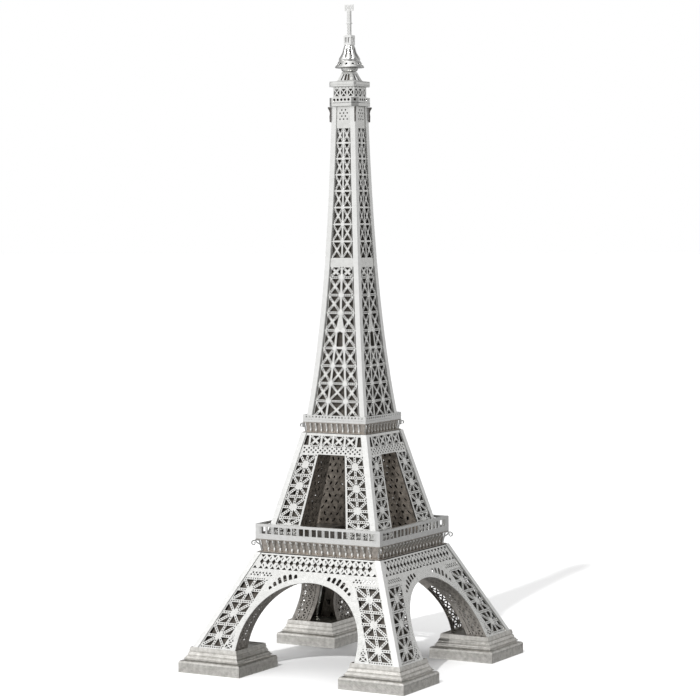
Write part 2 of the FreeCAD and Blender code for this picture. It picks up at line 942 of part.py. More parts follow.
def make_summit():
    balcony_half, cabin_half = size("balcony_half"), size("cabin_half")
    base, top = size("balcony_base"), size("balcony_top")
    row = [rectangle(x - 0.4, top - 1.0, x + 0.4, top - 0.45) for x in (-3, -1.5, 0, 1.5, 3)]
    make_square_tube("summit_balcony", balcony_half, base, top, row, floor=True)

    foot, cabin_top = base + gauge + gap, size("cabin_top")
    openings = []
    for step in range(-1, 2):
        x = step * 2.6
        openings += cell(
            (x - 1.3, top + 0.2), (x + 1.3, top + 0.2), (x + 1.3, cabin_top - 0.3),
            (x - 1.3, cabin_top - 0.3), 0.9,
        )
    make_square_tube("summit_cabin", cabin_half, foot, cabin_top, openings)

    roof_base, roof_top = cabin_top + gap, size("roof_top")
    roof = new_body("summit_roof")
    skirt = [
        (balcony_half, roof_base),
        (balcony_half, roof_top),
        (balcony_half - gauge, roof_top),
        (balcony_half - gauge, roof_base + gauge),
        (cabin_half - 1, roof_base + gauge),
        (cabin_half - 1, roof_base),
    ]
    mitred_strip(roof, skirt)
    lid = sketch_on(roof, "XY_Plane", square(balcony_half - gauge / 2), roof_top - gauge)
    pad(roof, lid, "sheet_gauge")
    low, high = size("spire_top") - 5.6, size("spire_top") - 0.15
    profile = bracket_profile(
        spire_half(low) * math.sqrt(2) + 0.1,
        spire_half(high) * math.sqrt(2) + 0.12,
        balcony_half * math.sqrt(2) + 0.3,
        low,
        high,
        0.5,
    )
    new_group("summit_brackets", corner_consoles(profile, 0.25))


def make_drum():
    """Four leaning walls with two round-headed openings each."""
    foot, top = size("roof_top") + gap, size("cupola_top")
    wide, narrow = size("cupola_foot_half"), size("cupola_top_half")
    body = new_body("cupola_arches")
    for kind, less in (("AdditiveLoft", 0), ("SubtractiveLoft", gauge)):
        low = sketch_on(body, "XY_Plane", square(wide - less), foot)
        high = sketch_on(body, "XY_Plane", square(narrow - less), top)
        loft(body, kind, [low, high])
    low, high = foot + 0.5, top - 0.9
    openings = []
    for x in (-1.05, 1.05):
        left, right = Vector(x - 0.45, high, 0), Vector(x + 0.45, high, 0)
        foot_left, foot_right = Vector(x - 0.45, low, 0), Vector(x + 0.45, low, 0)
        openings.append(Part.LineSegment(foot_left, foot_right))
        openings.append(Part.LineSegment(foot_right, right))
        openings.append(Part.Arc(right, Vector(x, high + 0.45, 0), left))
        openings.append(Part.LineSegment(left, foot_left))
    for role in ("XZ_Plane", "YZ_Plane"):
        pocket(body, sketch_on(body, role, openings), 4 * wide)


def make_porthole_ring():
    foot, top = size("collar_top") + gap, size("ring_top")
    wide, narrow = size("ring_foot_radius"), size("ring_top_radius")
    ring = turned_body(
        "cupola_ring",
        [
            (wide, foot),
            (wide, foot + 0.25),
            (narrow, top),
            (0, top),
            (0, top - gauge),
            (narrow - gauge, top - gauge),
            (wide - gauge - 0.1, foot + gauge),
            (2.0, foot + gauge),
            (2.0, foot),
        ],
    )
    hole = Part.Circle(Vector(0, (foot + top) / 2, 0), Vector(0, 0, 1), 0.4)
    repeat_round(ring, pocket(ring, sketch_on(ring, "YZ_Plane", [hole]), 4 * wide), 6)


def make_dome():
    foot, top = size("ring_top") + gap, size("dome_top")
    wide, narrow = size("ring_top_radius"), 1.55
    outer, inner = [], []
    levels = 7
    for step in range(levels):
        share = step / (levels - 1)
        height = between(foot, top, share)
        radius = narrow + (wide - narrow) * (1 - share) ** 1.35
        outer.append((radius, height))
        inner.append((radius - gauge, height))
    dome = turned_body("cupola_dome", outer + inner[::-1])
    slot = segments(rectangle(-0.18, foot + 1.6, 0.18, foot + 4.6))
    repeat_round(dome, pocket(dome, sketch_on(dome, "YZ_Plane", slot), 4 * wide), 4)


def make_cupola():
    make_drum()
    narrow, low = size("cupola_top_half"), size("cupola_top") + gap
    collar_top = size("collar_top")
    turned_body(
        "cupola_collar",
        [
            (narrow, low),
            (narrow + 0.95, low + 0.7),
            (narrow + 1.05, collar_top),
            (narrow + 0.8, collar_top),
            (narrow + 0.7, low + 0.75),
            (narrow - 0.3, low + gauge),
            (0, low + gauge),
            (0, low),
        ],
    )
    make_porthole_ring()
    make_dome()


def make_mast():
    """Lantern box, mast and crosshead, folded from one strip."""
    base, lantern_top = size("dome_top") + gap, size("lantern_top")
    ledge, cross_base = size("mast_ledge"), size("crosshead_base")
    top, reach = size("crosshead_top"), size("crosshead_half")
    lantern_half, mast_half = 1.5, 0.62
    body = new_body("lantern_mast")
    pad(body, sketch_on(body, "XY_Plane", square(lantern_half), base), length=lantern_top - base)
    post = sketch_on(body, "XY_Plane", square(mast_half), lantern_top)
    pad(body, post, length=cross_base - lantern_top)
    pad(body, sketch_on(body, "XY_Plane", square(0.85), ledge - 0.3), length=0.4)
    head = segments(rectangle(-reach, -0.3, reach, 0.3))
    pad(body, sketch_on(body, "XY_Plane", head, cross_base), length=top - cross_base)


# ---------------------------------------------------------------- build and write

make_pedestals()
make_arch_panels()
make_soffits()
make_leg_linings()
make_leg_angles()
make_first_gallery()
make_middle_section()
make_second_gallery()
make_spire()
make_spire_lining()
make_summit()
make_cupola()
make_mast()
doc.recompute()

broken = [o.Label for o in doc.Objects if "Invalid" in o.State or "Error" in o.State]
for part in parts:
    if part.Shape.isNull() or not part.Shape.isValid() or part.Shape.Volume <= 0:
        broken.append(part.Label)
if broken:
    raise RuntimeError("parts failed: " + ", ".join(broken))

os.makedirs("parts", exist_ok=True)
for part in parts:
    part.Shape.exportStep("parts/" + part.Label + ".step")
print(len(parts), "parts written")
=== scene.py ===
import math

import bmesh
import bpy
from mathutils import Matrix, Vector


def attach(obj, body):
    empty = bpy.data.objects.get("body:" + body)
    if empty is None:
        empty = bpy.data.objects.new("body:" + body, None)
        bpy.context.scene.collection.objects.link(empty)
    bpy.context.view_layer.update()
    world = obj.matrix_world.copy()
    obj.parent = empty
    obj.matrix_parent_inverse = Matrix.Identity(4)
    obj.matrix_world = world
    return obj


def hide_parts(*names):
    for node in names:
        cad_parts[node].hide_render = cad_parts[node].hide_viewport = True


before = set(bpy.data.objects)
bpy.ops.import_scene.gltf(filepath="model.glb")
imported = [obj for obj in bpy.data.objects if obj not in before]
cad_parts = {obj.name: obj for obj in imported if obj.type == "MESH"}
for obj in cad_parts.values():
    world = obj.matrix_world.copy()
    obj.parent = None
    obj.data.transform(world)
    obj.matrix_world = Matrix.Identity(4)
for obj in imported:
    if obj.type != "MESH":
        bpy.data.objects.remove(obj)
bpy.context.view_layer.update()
mm = 0.001          # the object is worked out in millimetres, the studio in metres
sides = {"front": 0, "right": 90, "back": 180, "left": 270}
corners = {"front_right": 0, "back_right": 90, "back_left": 180, "front_left": 270}
gauge = 0.25        # of the etched sheet
clearance = 0.06    # between neighbouring pieces
panelEdge = 0.75    # how far a panel stops short of the tower's corner
axis = 0.01         # as near to the tower's centre line as a section comes
diagonal = math.sqrt(2)


# Finishes

class Wire:
    # a socket that can stand in a sum: wire * 2 + 1 adds the Math nodes
    def __init__(self, nodes, socket):
        self.nodes = nodes
        self.socket = socket

    def join(self, operation, first, second):
        isVector = any(isinstance(v, Wire) and v.socket.type == "VECTOR" for v in (first, second))
        kind = "ShaderNodeVectorMath" if isVector else "ShaderNodeMath"
        return self.nodes.add(kind, {"operation": operation}, {0: first, 1: second})

    def __add__(self, other):
        return self.join("ADD", self, other)

    def __radd__(self, other):
        return self.join("ADD", other, self)

    def __sub__(self, other):
        return self.join("SUBTRACT", self, other)

    def __rsub__(self, other):
        return self.join("SUBTRACT", other, self)

    def __mul__(self, other):
        return self.join("MULTIPLY", self, other)

    def __rmul__(self, other):
        return self.join("MULTIPLY", other, self)

    def __truediv__(self, other):
        return self.join("DIVIDE", self, other)

    def __rtruediv__(self, other):
        return self.join("DIVIDE", other, self)

    def __pow__(self, other):
        return self.join("POWER", self, other)


class Nodes:
    # the nodes of a material or of the world
    def __init__(self, tree):
        self.tree = tree

    def add(self, kind, settings=None, inputs=None, output=0):
        node = self.tree.nodes.new(kind)
        for name, value in (settings or {}).items():
            setattr(node, name, value)
        for key, value in (inputs or {}).items():
            self.feed(node.inputs[key], value)
        return Wire(self, node.outputs[output])

    def feed(self, socket, value):
        if isinstance(value, Wire):
            self.tree.links.new(value.socket, socket)
        else:
            socket.default_value = value


class Finish(Nodes):
    # one material and the nodes that make it
    def __init__(self, name, **shader):
        self.material = bpy.data.materials.new(name)
        self.material.use_nodes = True
        super().__init__(self.material.node_tree)
        self.shader = self.tree.nodes["Principled BSDF"]
        for socket, value in shader.items():
            self.set(socket.replace("_", " "), value)

    def set(self, socket, value):
        self.feed(self.shader.inputs[socket], value)

    def grain(self, facts):
        # noise in the object's own space, squeezed along an axis to look rolled or brushed
        place = self.add("ShaderNodeTexCoord", output="Object")
        spread = self.add("ShaderNodeMapping", {}, {"Vector": place, "Scale": facts["stretch"]})
        return self.add("ShaderNodeTexNoise", {},
                        {"Vector": spread, "Scale": facts["size"], "Detail": facts["detail"]})

    def mix(self, factor, first, second):
        return self.add("ShaderNodeMix", {"data_type": "RGBA"}, {0: factor, 6: first, 7: second}, 2)

    def bump(self, height, strength, distance):
        inputs = {"Height": height, "Strength": strength, "Distance": distance}
        self.set("Normal", self.add("ShaderNodeBump", {}, inputs))


steel = {
    "brightSteel": {"light": (0.90, 0.90, 0.88), "dark": (0.72, 0.72, 0.70), "rough": 0.3},
    "angleSteel": {"light": (0.95, 0.95, 0.94), "dark": (0.84, 0.84, 0.82), "rough": 0.33},
    # painted shade: the backs of the sheets and the tower's inside, darkened in colour because they
    # lie in shade
    "innerPaintedShade": {"light": (0.62, 0.56, 0.49), "dark": (0.13, 0.115, 0.10), "rough": 0.6},
    # painted shade: near black sheets and blocks put inside the tower where there is only shade
    "darkPaintedShade": {"light": (0.19, 0.175, 0.155), "dark": (0.05, 0.045, 0.04), "rough": 0.6},
    # painted shade: the cornice bands darkened because they lie in shade under the ledge
    "cornicePaintedShade": {"light": (0.64, 0.59, 0.54), "dark": (0.32, 0.29, 0.26), "rough": 0.4},
    "pedestalSteel": {"light": (0.90, 0.88, 0.84), "dark": (0.50, 0.485, 0.45), "rough": 0.34},
    # painted shade: the arch soffits and the bracing inside the lower legs, darkened because they lie
    # in shade
    "mediumPaintedShade": {"light": (0.55, 0.52, 0.48), "dark": (0.26, 0.24, 0.22), "rough": 0.45},
    # painted shade: the gallery decks and the summit's corner brackets, darkened because they lie in
    # shade
    "dimPaintedShade": {"light": (0.34, 0.32, 0.30), "dark": (0.18, 0.17, 0.16), "rough": 0.5},
}


sheetGrain = {
    "brushed": {"stretch": (1, 1, 14), "size": 900, "detail": 3.0},
    "mottle": {"stretch": (1, 1, 1), "size": 620, "detail": 4.0},
    "pits": {"stretch": (1, 1, 1), "size": 2600, "detail": 2.0},
    "brushedShare": 0.45,       # of the tone; the mottle has the rest
    "toneFrom": 0.32,
    "toneTo": 0.68,
    "roughSpread": 0.3,
    "brushedHeight": 0.6,       # of the bump; the pits have the rest
    "bumpStrength": 0.35,
    "bumpDistance": 0.00012,
}


def makeSteel(name, facts):
    g = sheetGrain
    finish = Finish(name, Metallic=1.0)
    brushed, mottle, pits = (finish.grain(g[kind]) for kind in ("brushed", "mottle", "pits"))
    shade = brushed * g["brushedShare"] + mottle * (1 - g["brushedShare"])
    level = finish.add("ShaderNodeMapRange", {},
                       {"Value": shade, "From Min": g["toneFrom"], "From Max": g["toneTo"]})
    finish.set("Base Color", finish.mix(level, (*facts["dark"], 1), (*facts["light"], 1)))
    finish.set("Roughness", facts["rough"] + (brushed - 0.5) * g["roughSpread"])
    height = brushed * g["brushedHeight"] + pits * (1 - g["brushedHeight"])
    finish.bump(height, g["bumpStrength"], g["bumpDistance"])
    return finish.material


finishes = {name: makeSteel(name, facts) for name, facts in steel.items()}
print("finishes ready")


def between(low, high, share):
    return low + (high - low) * share


def mirrored(loops):
    return loops + [[(-x, y) for x, y in loop] for loop in loops]


def insetLoop(points, margin):
    # a convex outline drawn in by margin, or None where too little is left
    least = 0.25
    area = sum(a[0] * b[1] - b[0] * a[1] for a, b in zip(points, points[1:] + points[:1]))
    if area < 0:
        points = points[::-1]
    lines = []
    for (x0, y0), (x1, y1) in zip(points, points[1:] + points[:1]):
        length = math.hypot(x1 - x0, y1 - y0)
        if length < 1e-6:
            continue
        normal = ((y0 - y1) / length, (x1 - x0) / length)
        lines.append((normal, normal[0] * x0 + normal[1] * y0 + margin))
    drawn = []
    for (n0, d0), (n1, d1) in zip(lines[-1:] + lines[:-1], lines):
        cross = n0[0] * n1[1] - n0[1] * n1[0]
        drawn.append(((d0 * n1[1] - d1 * n0[1]) / cross, (d1 * n0[0] - d0 * n1[0]) / cross))
    depth = min(n[0] * x + n[1] * y - d for n, d in lines for x, y in drawn)
    longest = max(math.dist(drawn[0], point) for point in drawn)
    return drawn if depth > -1e-6 and longest > least else None


def perforate(start, end, pitch, size, trim=0.6, stretch=1.0):
    # holes in a row from start to end, stretched along it
    length = math.dist(start, end)
    count = int((length - 2 * trim) / pitch) + 1
    if count < 1 or length < 2 * trim:
        return []
    ux, uy = (end[0] - start[0]) / length, (end[1] - start[1]) / length
    first = (length - (count - 1) * pitch) / 2
    half = size / 2
    holes = []
    for step in range(count):
        cx = start[0] + ux * (first + step * pitch)
        cy = start[1] + uy * (first + step * pitch)
        holes.append(
            [
                (cx + ux * a * half - uy * b * half, cy + uy * a * half + ux * b * half)
                for a, b in ((-stretch, -1), (stretch, -1), (stretch, 1), (-stretch, 1))
            ]
        )
    return holes


def diamond(x, y, halfWidth, halfHeight):
    return [(x - halfWidth, y), (x, y - halfHeight), (x + halfWidth, y), (x, y + halfHeight)]


def rectangle(x0, y0, x1, y1):
    return [(x0, y0), (x1, y0), (x1, y1), (x0, y1)]


def tilted(loop, x, y, angle):
    # a loop turned about its own origin and put at a point
    c, s = math.cos(angle), math.sin(angle)
    return [(x + px * c - py * s, y + px * s + py * c) for px, py in loop]


def ellipse(x, y, halfWidth, halfHeight, count=12):
    turn = 2 * math.pi / count
    return [
        (x + halfWidth * math.cos(turn * i), y + halfHeight * math.sin(turn * i))
        for i in range(count)
    ]


def bracedCell(lowLeft, lowRight, topRight, topLeft, bar, star=False, hole=0.0, pitch=0.62,
               hub=1.15, rim=True):
    # openings between the bars of one braced cell, and the row of holes along each bar
    ring = [lowLeft, lowRight, topRight, topLeft]
    if star:
        middles = [
            ((a[0] + b[0]) / 2, (a[1] + b[1]) / 2) for a, b in zip(ring, ring[1:] + ring[:1])
        ]
        ring = [point for pair in zip(ring, middles) for point in pair]
    centre = (sum(p[0] for p in ring) / len(ring), sum(p[1] for p in ring) / len(ring))
    loops = [insetLoop([centre, a, b], bar / 2) for a, b in zip(ring, ring[1:] + ring[:1])]
    loops = [loop for loop in loops if loop]
    if hole:
        for point in ring:
            length = math.dist(centre, point)
            share = hub / length if length > hub else 1
            near = (between(centre[0], point[0], share), between(centre[1], point[1], share))
            loops += perforate(near, point, pitch, hole, 0.5, 1.25)
        if rim:
            loops += perforate(lowLeft, lowRight, pitch, hole, 0.7, 1.3)
    return loops


def seam(half, flange, low, high):
    # a slit beside the corner angle, over one cell, with a land left at each end
    inner, outer, land = flange + 0.38, flange + 0.03, 0.2
    low, high = low + land, high - land
    return [(half(low) - inner, low), (half(low) - outer, low),
            (half(high) - outer, high), (half(high) - inner, high)]


def crossing(a, b, c, d):
    def side(p, q, r):
        return (q[0] - p[0]) * (r[1] - p[1]) - (q[1] - p[1]) * (r[0] - p[0])

    return side(a, b, c) * side(a, b, d) < 0 and side(c, d, a) * side(c, d, b) < 0


def encloses(loop, point):
    inside = False
    x, y = point
    for (x0, y0), (x1, y1) in zip(loop, loop[1:] + loop[:1]):
        if (y0 > y) != (y1 > y) and x < (x1 - x0) * (y - y0) / (y1 - y0) + x0:
            inside = not inside
    return inside


def loopArea(loop):
    return abs(sum(a[0] * b[1] - b[0] * a[1] for a, b in zip(loop, loop[1:] + loop[:1]))) / 2


def meets(first, second):
    for a, b in zip(first, first[1:] + first[:1]):
        for c, d in zip(second, second[1:] + second[:1]):
            if crossing(a, b, c, d):
                return True
    return encloses(second, first[0]) or encloses(first, second[0])


def clearLoops(outline, loops):
    # the outline and the openings, less any that would run into a larger one or off the sheet
    margin = 0.04
    kept = []
    boxes = []
    for loop in sorted(loops, key=loopArea, reverse=True):
        xs, ys = [p[0] for p in loop], [p[1] for p in loop]
        box = (min(xs) - margin, max(xs) + margin, min(ys) - margin, max(ys) + margin)
        if not all(encloses(outline, (x, y)) for x in box[:2] for y in box[2:]):
            continue
        near = [
            other for other, (x0, x1, y0, y1) in zip(kept, boxes)
            if x0 < box[1] and box[0] < x1 and y0 < box[3] and box[2] < y1
        ]
        if any(meets(loop, other) for other in near):
            continue
        kept.append(loop)
        boxes.append(box)
    return [outline] + kept


# Sheet made from outlines, laid on a face by a place(x, y, depth) of its own

def flatMesh(loops):
    curve = bpy.data.curves.new("fret", "CURVE")
    curve.dimensions = "2D"
    curve.fill_mode = "BOTH"
    for loop in loops:
        spline = curve.splines.new("POLY")
        spline.points.add(len(loop) - 1)
        for point, (x, y) in zip(spline.points, loop):
            point.co = (x, y, 0, 1)
        spline.use_cyclic_u = True
    holder = bpy.data.objects.new("fret", curve)
    bpy.context.scene.collection.objects.link(holder)
    graph = bpy.context.evaluated_depsgraph_get()
    mesh = bpy.data.meshes.new_from_object(holder.evaluated_get(graph))
    bpy.data.objects.remove(holder)
    bpy.data.curves.remove(curve)
    return mesh


def written(shape):
    mesh = bpy.data.meshes.new("shape")
    shape.to_mesh(mesh)
    shape.free()
    return mesh


def layOn(mesh, place, thickness):
    # the flat fret given its thickness and put where place says; the inner face is slot 1, where most
    # pieces take a painted shade
    sheet = bmesh.new()
    sheet.from_mesh(mesh)
    bmesh.ops.remove_doubles(sheet, verts=sheet.verts, dist=1e-4)
    for face in sheet.faces:
        if face.normal.z < 0:
            face.normal_flip()
    flat = [(v, v.co.x, v.co.y) for v in sheet.verts]
    outerFaces = list(sheet.faces)
    rims = [edge for edge in sheet.edges if len(edge.link_faces) == 1]
    rimLoops = []
    for edge in rims:
        loop = edge.link_loops[0]
        rimLoops.append((loop.vert, loop.link_loop_next.vert))
    under = {v: sheet.verts.new(Vector(place(x, y, thickness)) * mm) for v, x, y in flat}
    for v, x, y in flat:
        v.co = Vector(place(x, y, 0)) * mm
    for face in outerFaces:
        back = sheet.faces.new([under[v] for v in reversed(face.verts)])
        back.material_index = 1
    for a, b in rimLoops:
        sheet.faces.new([b, a, under[a], under[b]])
    return written(sheet)


def turnedMesh(mesh, angle):
    copy = mesh.copy()
    copy.transform(Matrix.Rotation(math.radians(angle), 4, "Z"))
    return copy


def addPiece(name, mesh, finishNames, nodes, smooth=False):
    piece = bpy.data.objects.new(name, mesh)
    bpy.context.scene.collection.objects.link(piece)
    mesh.materials.clear()
    for finishName in finishNames:
        mesh.materials.append(finishes[finishName])
    for polygon in mesh.polygons:
        polygon.use_smooth = smooth
    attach(piece, "root")
    if nodes:
        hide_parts(*nodes)
    return piece


def addFour(name, mesh, finishNames, node, turns):
    # the same mesh on each side or at each corner, in place of the node of the same name
    for place, turn in turns.items():
        addPiece(name + "_" + place, turnedMesh(mesh, turn), finishNames, [node + "_" + place])


def meshOf(build):
    shape = bmesh.new()
    build(shape)
    bmesh.ops.remove_doubles(shape, verts=shape.verts, dist=1e-7)
    bmesh.ops.recalc_face_normals(shape, faces=shape.faces)
    return written(shape)


def joinMeshes(meshes):
    whole = bmesh.new()
    for mesh in meshes:
        whole.from_mesh(mesh)
    return written(whole)


def section(inner, outer, low, high):
    return [(outer, low), (outer, high), (inner, high), (inner, low)]


def squareLathe(profile, closed=True, corner=0.0):
    # a section of (half-width, height) carried round a square; corner cuts the corners off
    shape = bmesh.new()
    loops = []
    for half, z in profile:
        if corner:
            cut = half - corner
            ring = [(half, -cut), (half, cut), (cut, half), (-cut, half), (-half, cut),
                    (-half, -cut), (-cut, -half), (cut, -half)]
        else:
            ring = [(half, -half), (half, half), (-half, half), (-half, -half)]
        loops.append([shape.verts.new((x * mm, y * mm, z * mm)) for x, y in ring])
    for low, high in zip(loops, loops[1:] + (loops[:1] if closed else [])):
        for i in range(len(low)):
            j = (i + 1) % len(low)
            shape.faces.new([low[i], low[j], high[j], high[i]])
    bmesh.ops.recalc_face_normals(shape, faces=shape.faces)
    return written(shape)


class LeaningFace:
    # a flat face that leans in as it rises; x runs across it and s up it
    def __init__(self, foot, footHalf, lean, top):
        self.foot = foot
        self.footHalf = footHalf
        self.lean = lean
        self.stretch = math.hypot(1, lean)
        self.length = (top - foot) * self.stretch

    def slant(self, height):
        return (height - self.foot) * self.stretch

    def half(self, s):
        return self.footHalf - self.lean * s / self.stretch

    def place(self, setback):
        n = self.stretch

        def put(x, s, depth):
            d = setback + depth
            return x, -self.footHalf + self.lean * s / n + d / n, self.foot + s / n - self.lean * d / n

        return put


# Lower legs and arches

arch = {
    "foot": 8.76,
    "footHalf": 42.86,
    "lean": 0.498,
    "top": 42.5,
    "radius": 24.7,
    "spring": 3.05,
    "archivolt": 1.8,
    "strip": 10.4,          # width of a leg's braced strip
    "flange": 2.2,          # of the corner angles
    "bar": 1.02,
    "hole": 0.44,
    "pitch": 0.95,
    "setback": 0.36,
    "cells": (9.6, 17.63, 25.67, 33.7),     # heights between the braced cells of a leg
    "innerCells": (0.75, 2.9, 5.0, 6.9),    # the same on the foot's inner side, up the slope
    "diamondBand": (34.5, 36.2),
    "trellisBand": (37.1, 42.1),
    "trellisPitch": 2.5,
    "slotLengths": (1.2, 1.8, 2.2, 2.1, 1.4, 0.8),  # of the openings over the archivolt
    "slotFrom": 14.6,       # degrees from the crown
    "slotTurn": 4.5,
    "slotHalf": 0.66,
}
legFace = LeaningFace(arch["foot"], arch["footHalf"], arch["lean"], arch["top"])


def legStrip(s):
    outer = legFace.half(s) - arch["flange"]
    return outer, outer - arch["strip"]


def trellis(low, high, pitch):
    rise = (high - low) / 4
    middle = (low + high) / 2
    edge = arch["flange"] + 0.15
    slot = rectangle(-0.19, -0.54, 0.19, 0.54)
    slotLean = 24
    loops = []

    def fits(x, half, s):
        return abs(x) + half < legFace.half(s) - edge

    for step in range(-13, 14):
        x = step * pitch
        left, right = x - pitch / 2, x + pitch / 2
        if fits(x, 0.9, high):
            loops.append(insetLoop([(left, high), (x, high - rise), (right, high)], 0.13))
        if fits(x, 0.85, middle):
            loops.append(diamond(x, middle, 0.92, 1.16))
        if fits(x, 0.9, low):
            loops.append(insetLoop([(left, low), (right, low), (x, low + rise)], 0.13))
        if fits(right, 0.4, high):
            for sign in (-1, 1):
                for lean in (-1, 1):
                    loops.append(tilted(slot, right + lean * 0.33, middle + sign * rise * 0.98,
                                        math.radians(slotLean * lean * sign)))
            loops.append(diamond(right, middle, 0.2, 0.26))
    return [loop for loop in loops if loop]


def staggered(low, high, inner, outer, pitch, half):
    loops = []
    for row, height in enumerate((low + half + 0.1, high - half - 0.1)):
        x = inner + half + 0.2 + row * pitch / 2
        while x + half + 0.15 < outer:
            loops.append(diamond(x, height, half, half))
            x += pitch
    return loops


def spandrelSlots():
    # round-headed openings that stand on the archivolt
    base = arch["radius"] + arch["archivolt"] + 0.25
    half = arch["slotHalf"]
    loops = []
    for step, length in enumerate(arch["slotLengths"]):
        angle = math.radians(arch["slotFrom"] + arch["slotTurn"] * step)
        ax, ay = math.sin(angle), math.cos(angle)
        loop = []
        outline = [(-half, 0), (half, 0)]
        outline += [
            (half * math.cos(t * math.pi / 6), length - half * 0.4 + half * math.sin(t * math.pi / 6))
            for t in range(7)
        ]
        for across, along in outline:
            x = ax * (base + along) + ay * across
            y = arch["spring"] + ay * (base + along) - ax * across
            loop.append((x, y))
        loops.append(loop)
    return mirrored(loops)


def archOutline():
    radius, spring = arch["radius"], arch["spring"]
    low = legFace.half(0) - panelEdge
    high = legFace.half(legFace.length) - panelEdge
    steps = 72
    curve = [
        (radius * math.cos(math.pi * i / steps), spring + radius * math.sin(math.pi * i / steps))
        for i in range(steps + 1)
    ]
    head = [(radius, 0), (low, 0), (high, legFace.length), (-high, legFace.length)]
    return [(-low, 0), (-radius, 0)] + curve[::-1] + head


def archLoops():
    hole, bar = arch["hole"], arch["bar"]
    loops = []
    bounds = [legFace.slant(z) for z in arch["cells"]]
    for low, high in zip(bounds, bounds[1:]):
        (lowOut, lowIn), (highOut, highIn) = legStrip(low), legStrip(high)
        loops += bracedCell((lowIn, low), (lowOut, low), (highOut, high), (highIn, high), bar,
                            star=True, hole=hole, pitch=arch["pitch"])
        loops.append(seam(legFace.half, arch["flange"], low, high))
    topOut, topIn = legStrip(bounds[-1])
    loops += perforate((topIn, bounds[-1]), (topOut, bounds[-1]), arch["pitch"], hole, 0.7)
    footEdge = arch["radius"] + arch["archivolt"] - 0.3
    levels = arch["innerCells"]
    for low, high in zip(levels, levels[1:]):
        loops += bracedCell((footEdge, low), (legStrip(low)[1], low), (legStrip(high)[1], high),
                            (footEdge, high), 0.42)
    bandLow, bandHigh = [legFace.slant(z) for z in arch["diamondBand"]]
    bandOuter, bandInner = legStrip(bandHigh)
    loops += staggered(bandLow, bandHigh, bandInner, bandOuter, 1.42, 0.45)
    loops = mirrored(loops) + spandrelSlots()
    return loops + trellis(*[legFace.slant(z) for z in arch["trellisBand"]], arch["trellisPitch"])


def makeArchPanels():
    flat = flatMesh(clearLoops(archOutline(), archLoops()))
    sheet = layOn(flat, legFace.place(arch["setback"]), gauge)
    addFour("archLattice", sheet, ("brightSteel", "innerPaintedShade"), "arch_panel", sides)


makeArchPanels()
print("arch panels ready")

# Middle legs

middle = {
    "foot": 49.3,
    "footHalf": 22.82,
    "lean": 0.2513,
    "top": 85.6,
    "gapFootHalf": 10.1,
    "gapLean": 0.1556,
    "gapTop": 78.1,
    "bar": 0.95,
    "hole": 0.42,
    "pitch": 0.9,
    "cells": (49.6, 55.15, 62.8, 70.45, 78.15),
    "diamondRows": (78.8, 79.55, 80.3),
    "diamondPitch": 0.97,
    "frieze": (80.9, 85.1),
    "friezePitch": 4.9,
    "friezeBar": 0.8,
}
middleFace = LeaningFace(middle["foot"], middle["footHalf"], middle["lean"], middle["top"])


def gapHalf(height):
    return middle["gapFootHalf"] - middle["gapLean"] * (height - middle["foot"])


def middleOutline():
    notch = middleFace.slant(middle["gapTop"])
    low, high = middleFace.half(0) - panelEdge, middleFace.half(middleFace.length) - panelEdge
    gapLow, gapHigh = gapHalf(middle["foot"]), gapHalf(middle["gapTop"])
    return [(-low, 0), (-gapLow, 0), (-gapHigh, notch), (gapHigh, notch), (gapLow, 0), (low, 0),
            (high, middleFace.length), (-high, middleFace.length)]


def middleLoops():
    bar, hole, flange = middle["bar"], middle["hole"], arch["flange"]
    loops = []
    for low, high in zip(middle["cells"], middle["cells"][1:]):
        ends = []
        for level in (low, high):
            s = middleFace.slant(level)
            ends += [(gapHalf(level) + 0.3, s), (middleFace.half(s) - flange, s)]
        lowIn, lowOut, highIn, highOut = ends
        loops += bracedCell(lowIn, lowOut, highOut, highIn, bar, star=True, hole=hole,
                            pitch=middle["pitch"], hub=1.1)
        loops.append(seam(middleFace.half, flange, lowOut[1], highOut[1]))
    loops = mirrored(loops)
    pitch = middle["diamondPitch"]
    for row, height in enumerate(middle["diamondRows"]):
        s = middleFace.slant(height)
        steps = int((middleFace.half(s) - flange - 0.5) / pitch)
        for step in range(-steps, steps + 1):
            if (step + row) % 2 == 0:
                loops.append(diamond(step * pitch, s, 0.46, 0.42))
    low, high = [middleFace.slant(z) for z in middle["frieze"]]
    pitch = middle["friezePitch"]
    for step in range(-2, 2):
        cell = rectangle(step * pitch, low, (step + 1) * pitch, high)
        loops += bracedCell(*cell, middle["friezeBar"], hole=0.36, pitch=0.72, hub=0.9)
    lowReach, highReach = middleFace.half(low) - flange, middleFace.half(high) - flange
    end = insetLoop([(2 * pitch, low), (lowReach, low), (highReach, high), (2 * pitch, high)], 0.38)
    return loops + (mirrored([end]) if end else [])


def makeMiddlePanels():
    flat = flatMesh(clearLoops(middleOutline(), middleLoops()))
    sheet = layOn(flat, middleFace.place(arch["setback"]), gauge)
    addFour("middleLattice", sheet, ("brightSteel", "innerPaintedShade"), "middle_panel",
            sides)


makeMiddlePanels()
print("middle panels ready")

# Soffits, inner plates and linings

soffit = {
    "depth": 8.0,
    "backDepth": 12.0,
    "cell": 3.3,
    "bar": 0.62,
    "edge": 1.9,            # inner strip, with one row of holes
    "footGap": 0.1,
    "upstand": 5.0,         # a wall over the middle of the arch, at the soffit's back
    "turnFrom": 40.0,       # degrees of the arch where that wall starts
    "turnSteps": 40,
}


def archPoint(along):
    # a point and its outward direction on the arch, by the length walked from one foot
    radius, spring = arch["radius"], arch["spring"]
    straight = spring - soffit["footGap"]
    if along < straight:
        return -radius, soffit["footGap"] + along, -1.0, 0.0
    curve = math.pi * radius
    if along > straight + curve:
        return radius, spring - (along - straight - curve), 1.0, 0.0
    angle = math.pi - (along - straight) / radius
    out, up = math.cos(angle), math.sin(angle)
    return radius * out, spring + radius * up, out, up


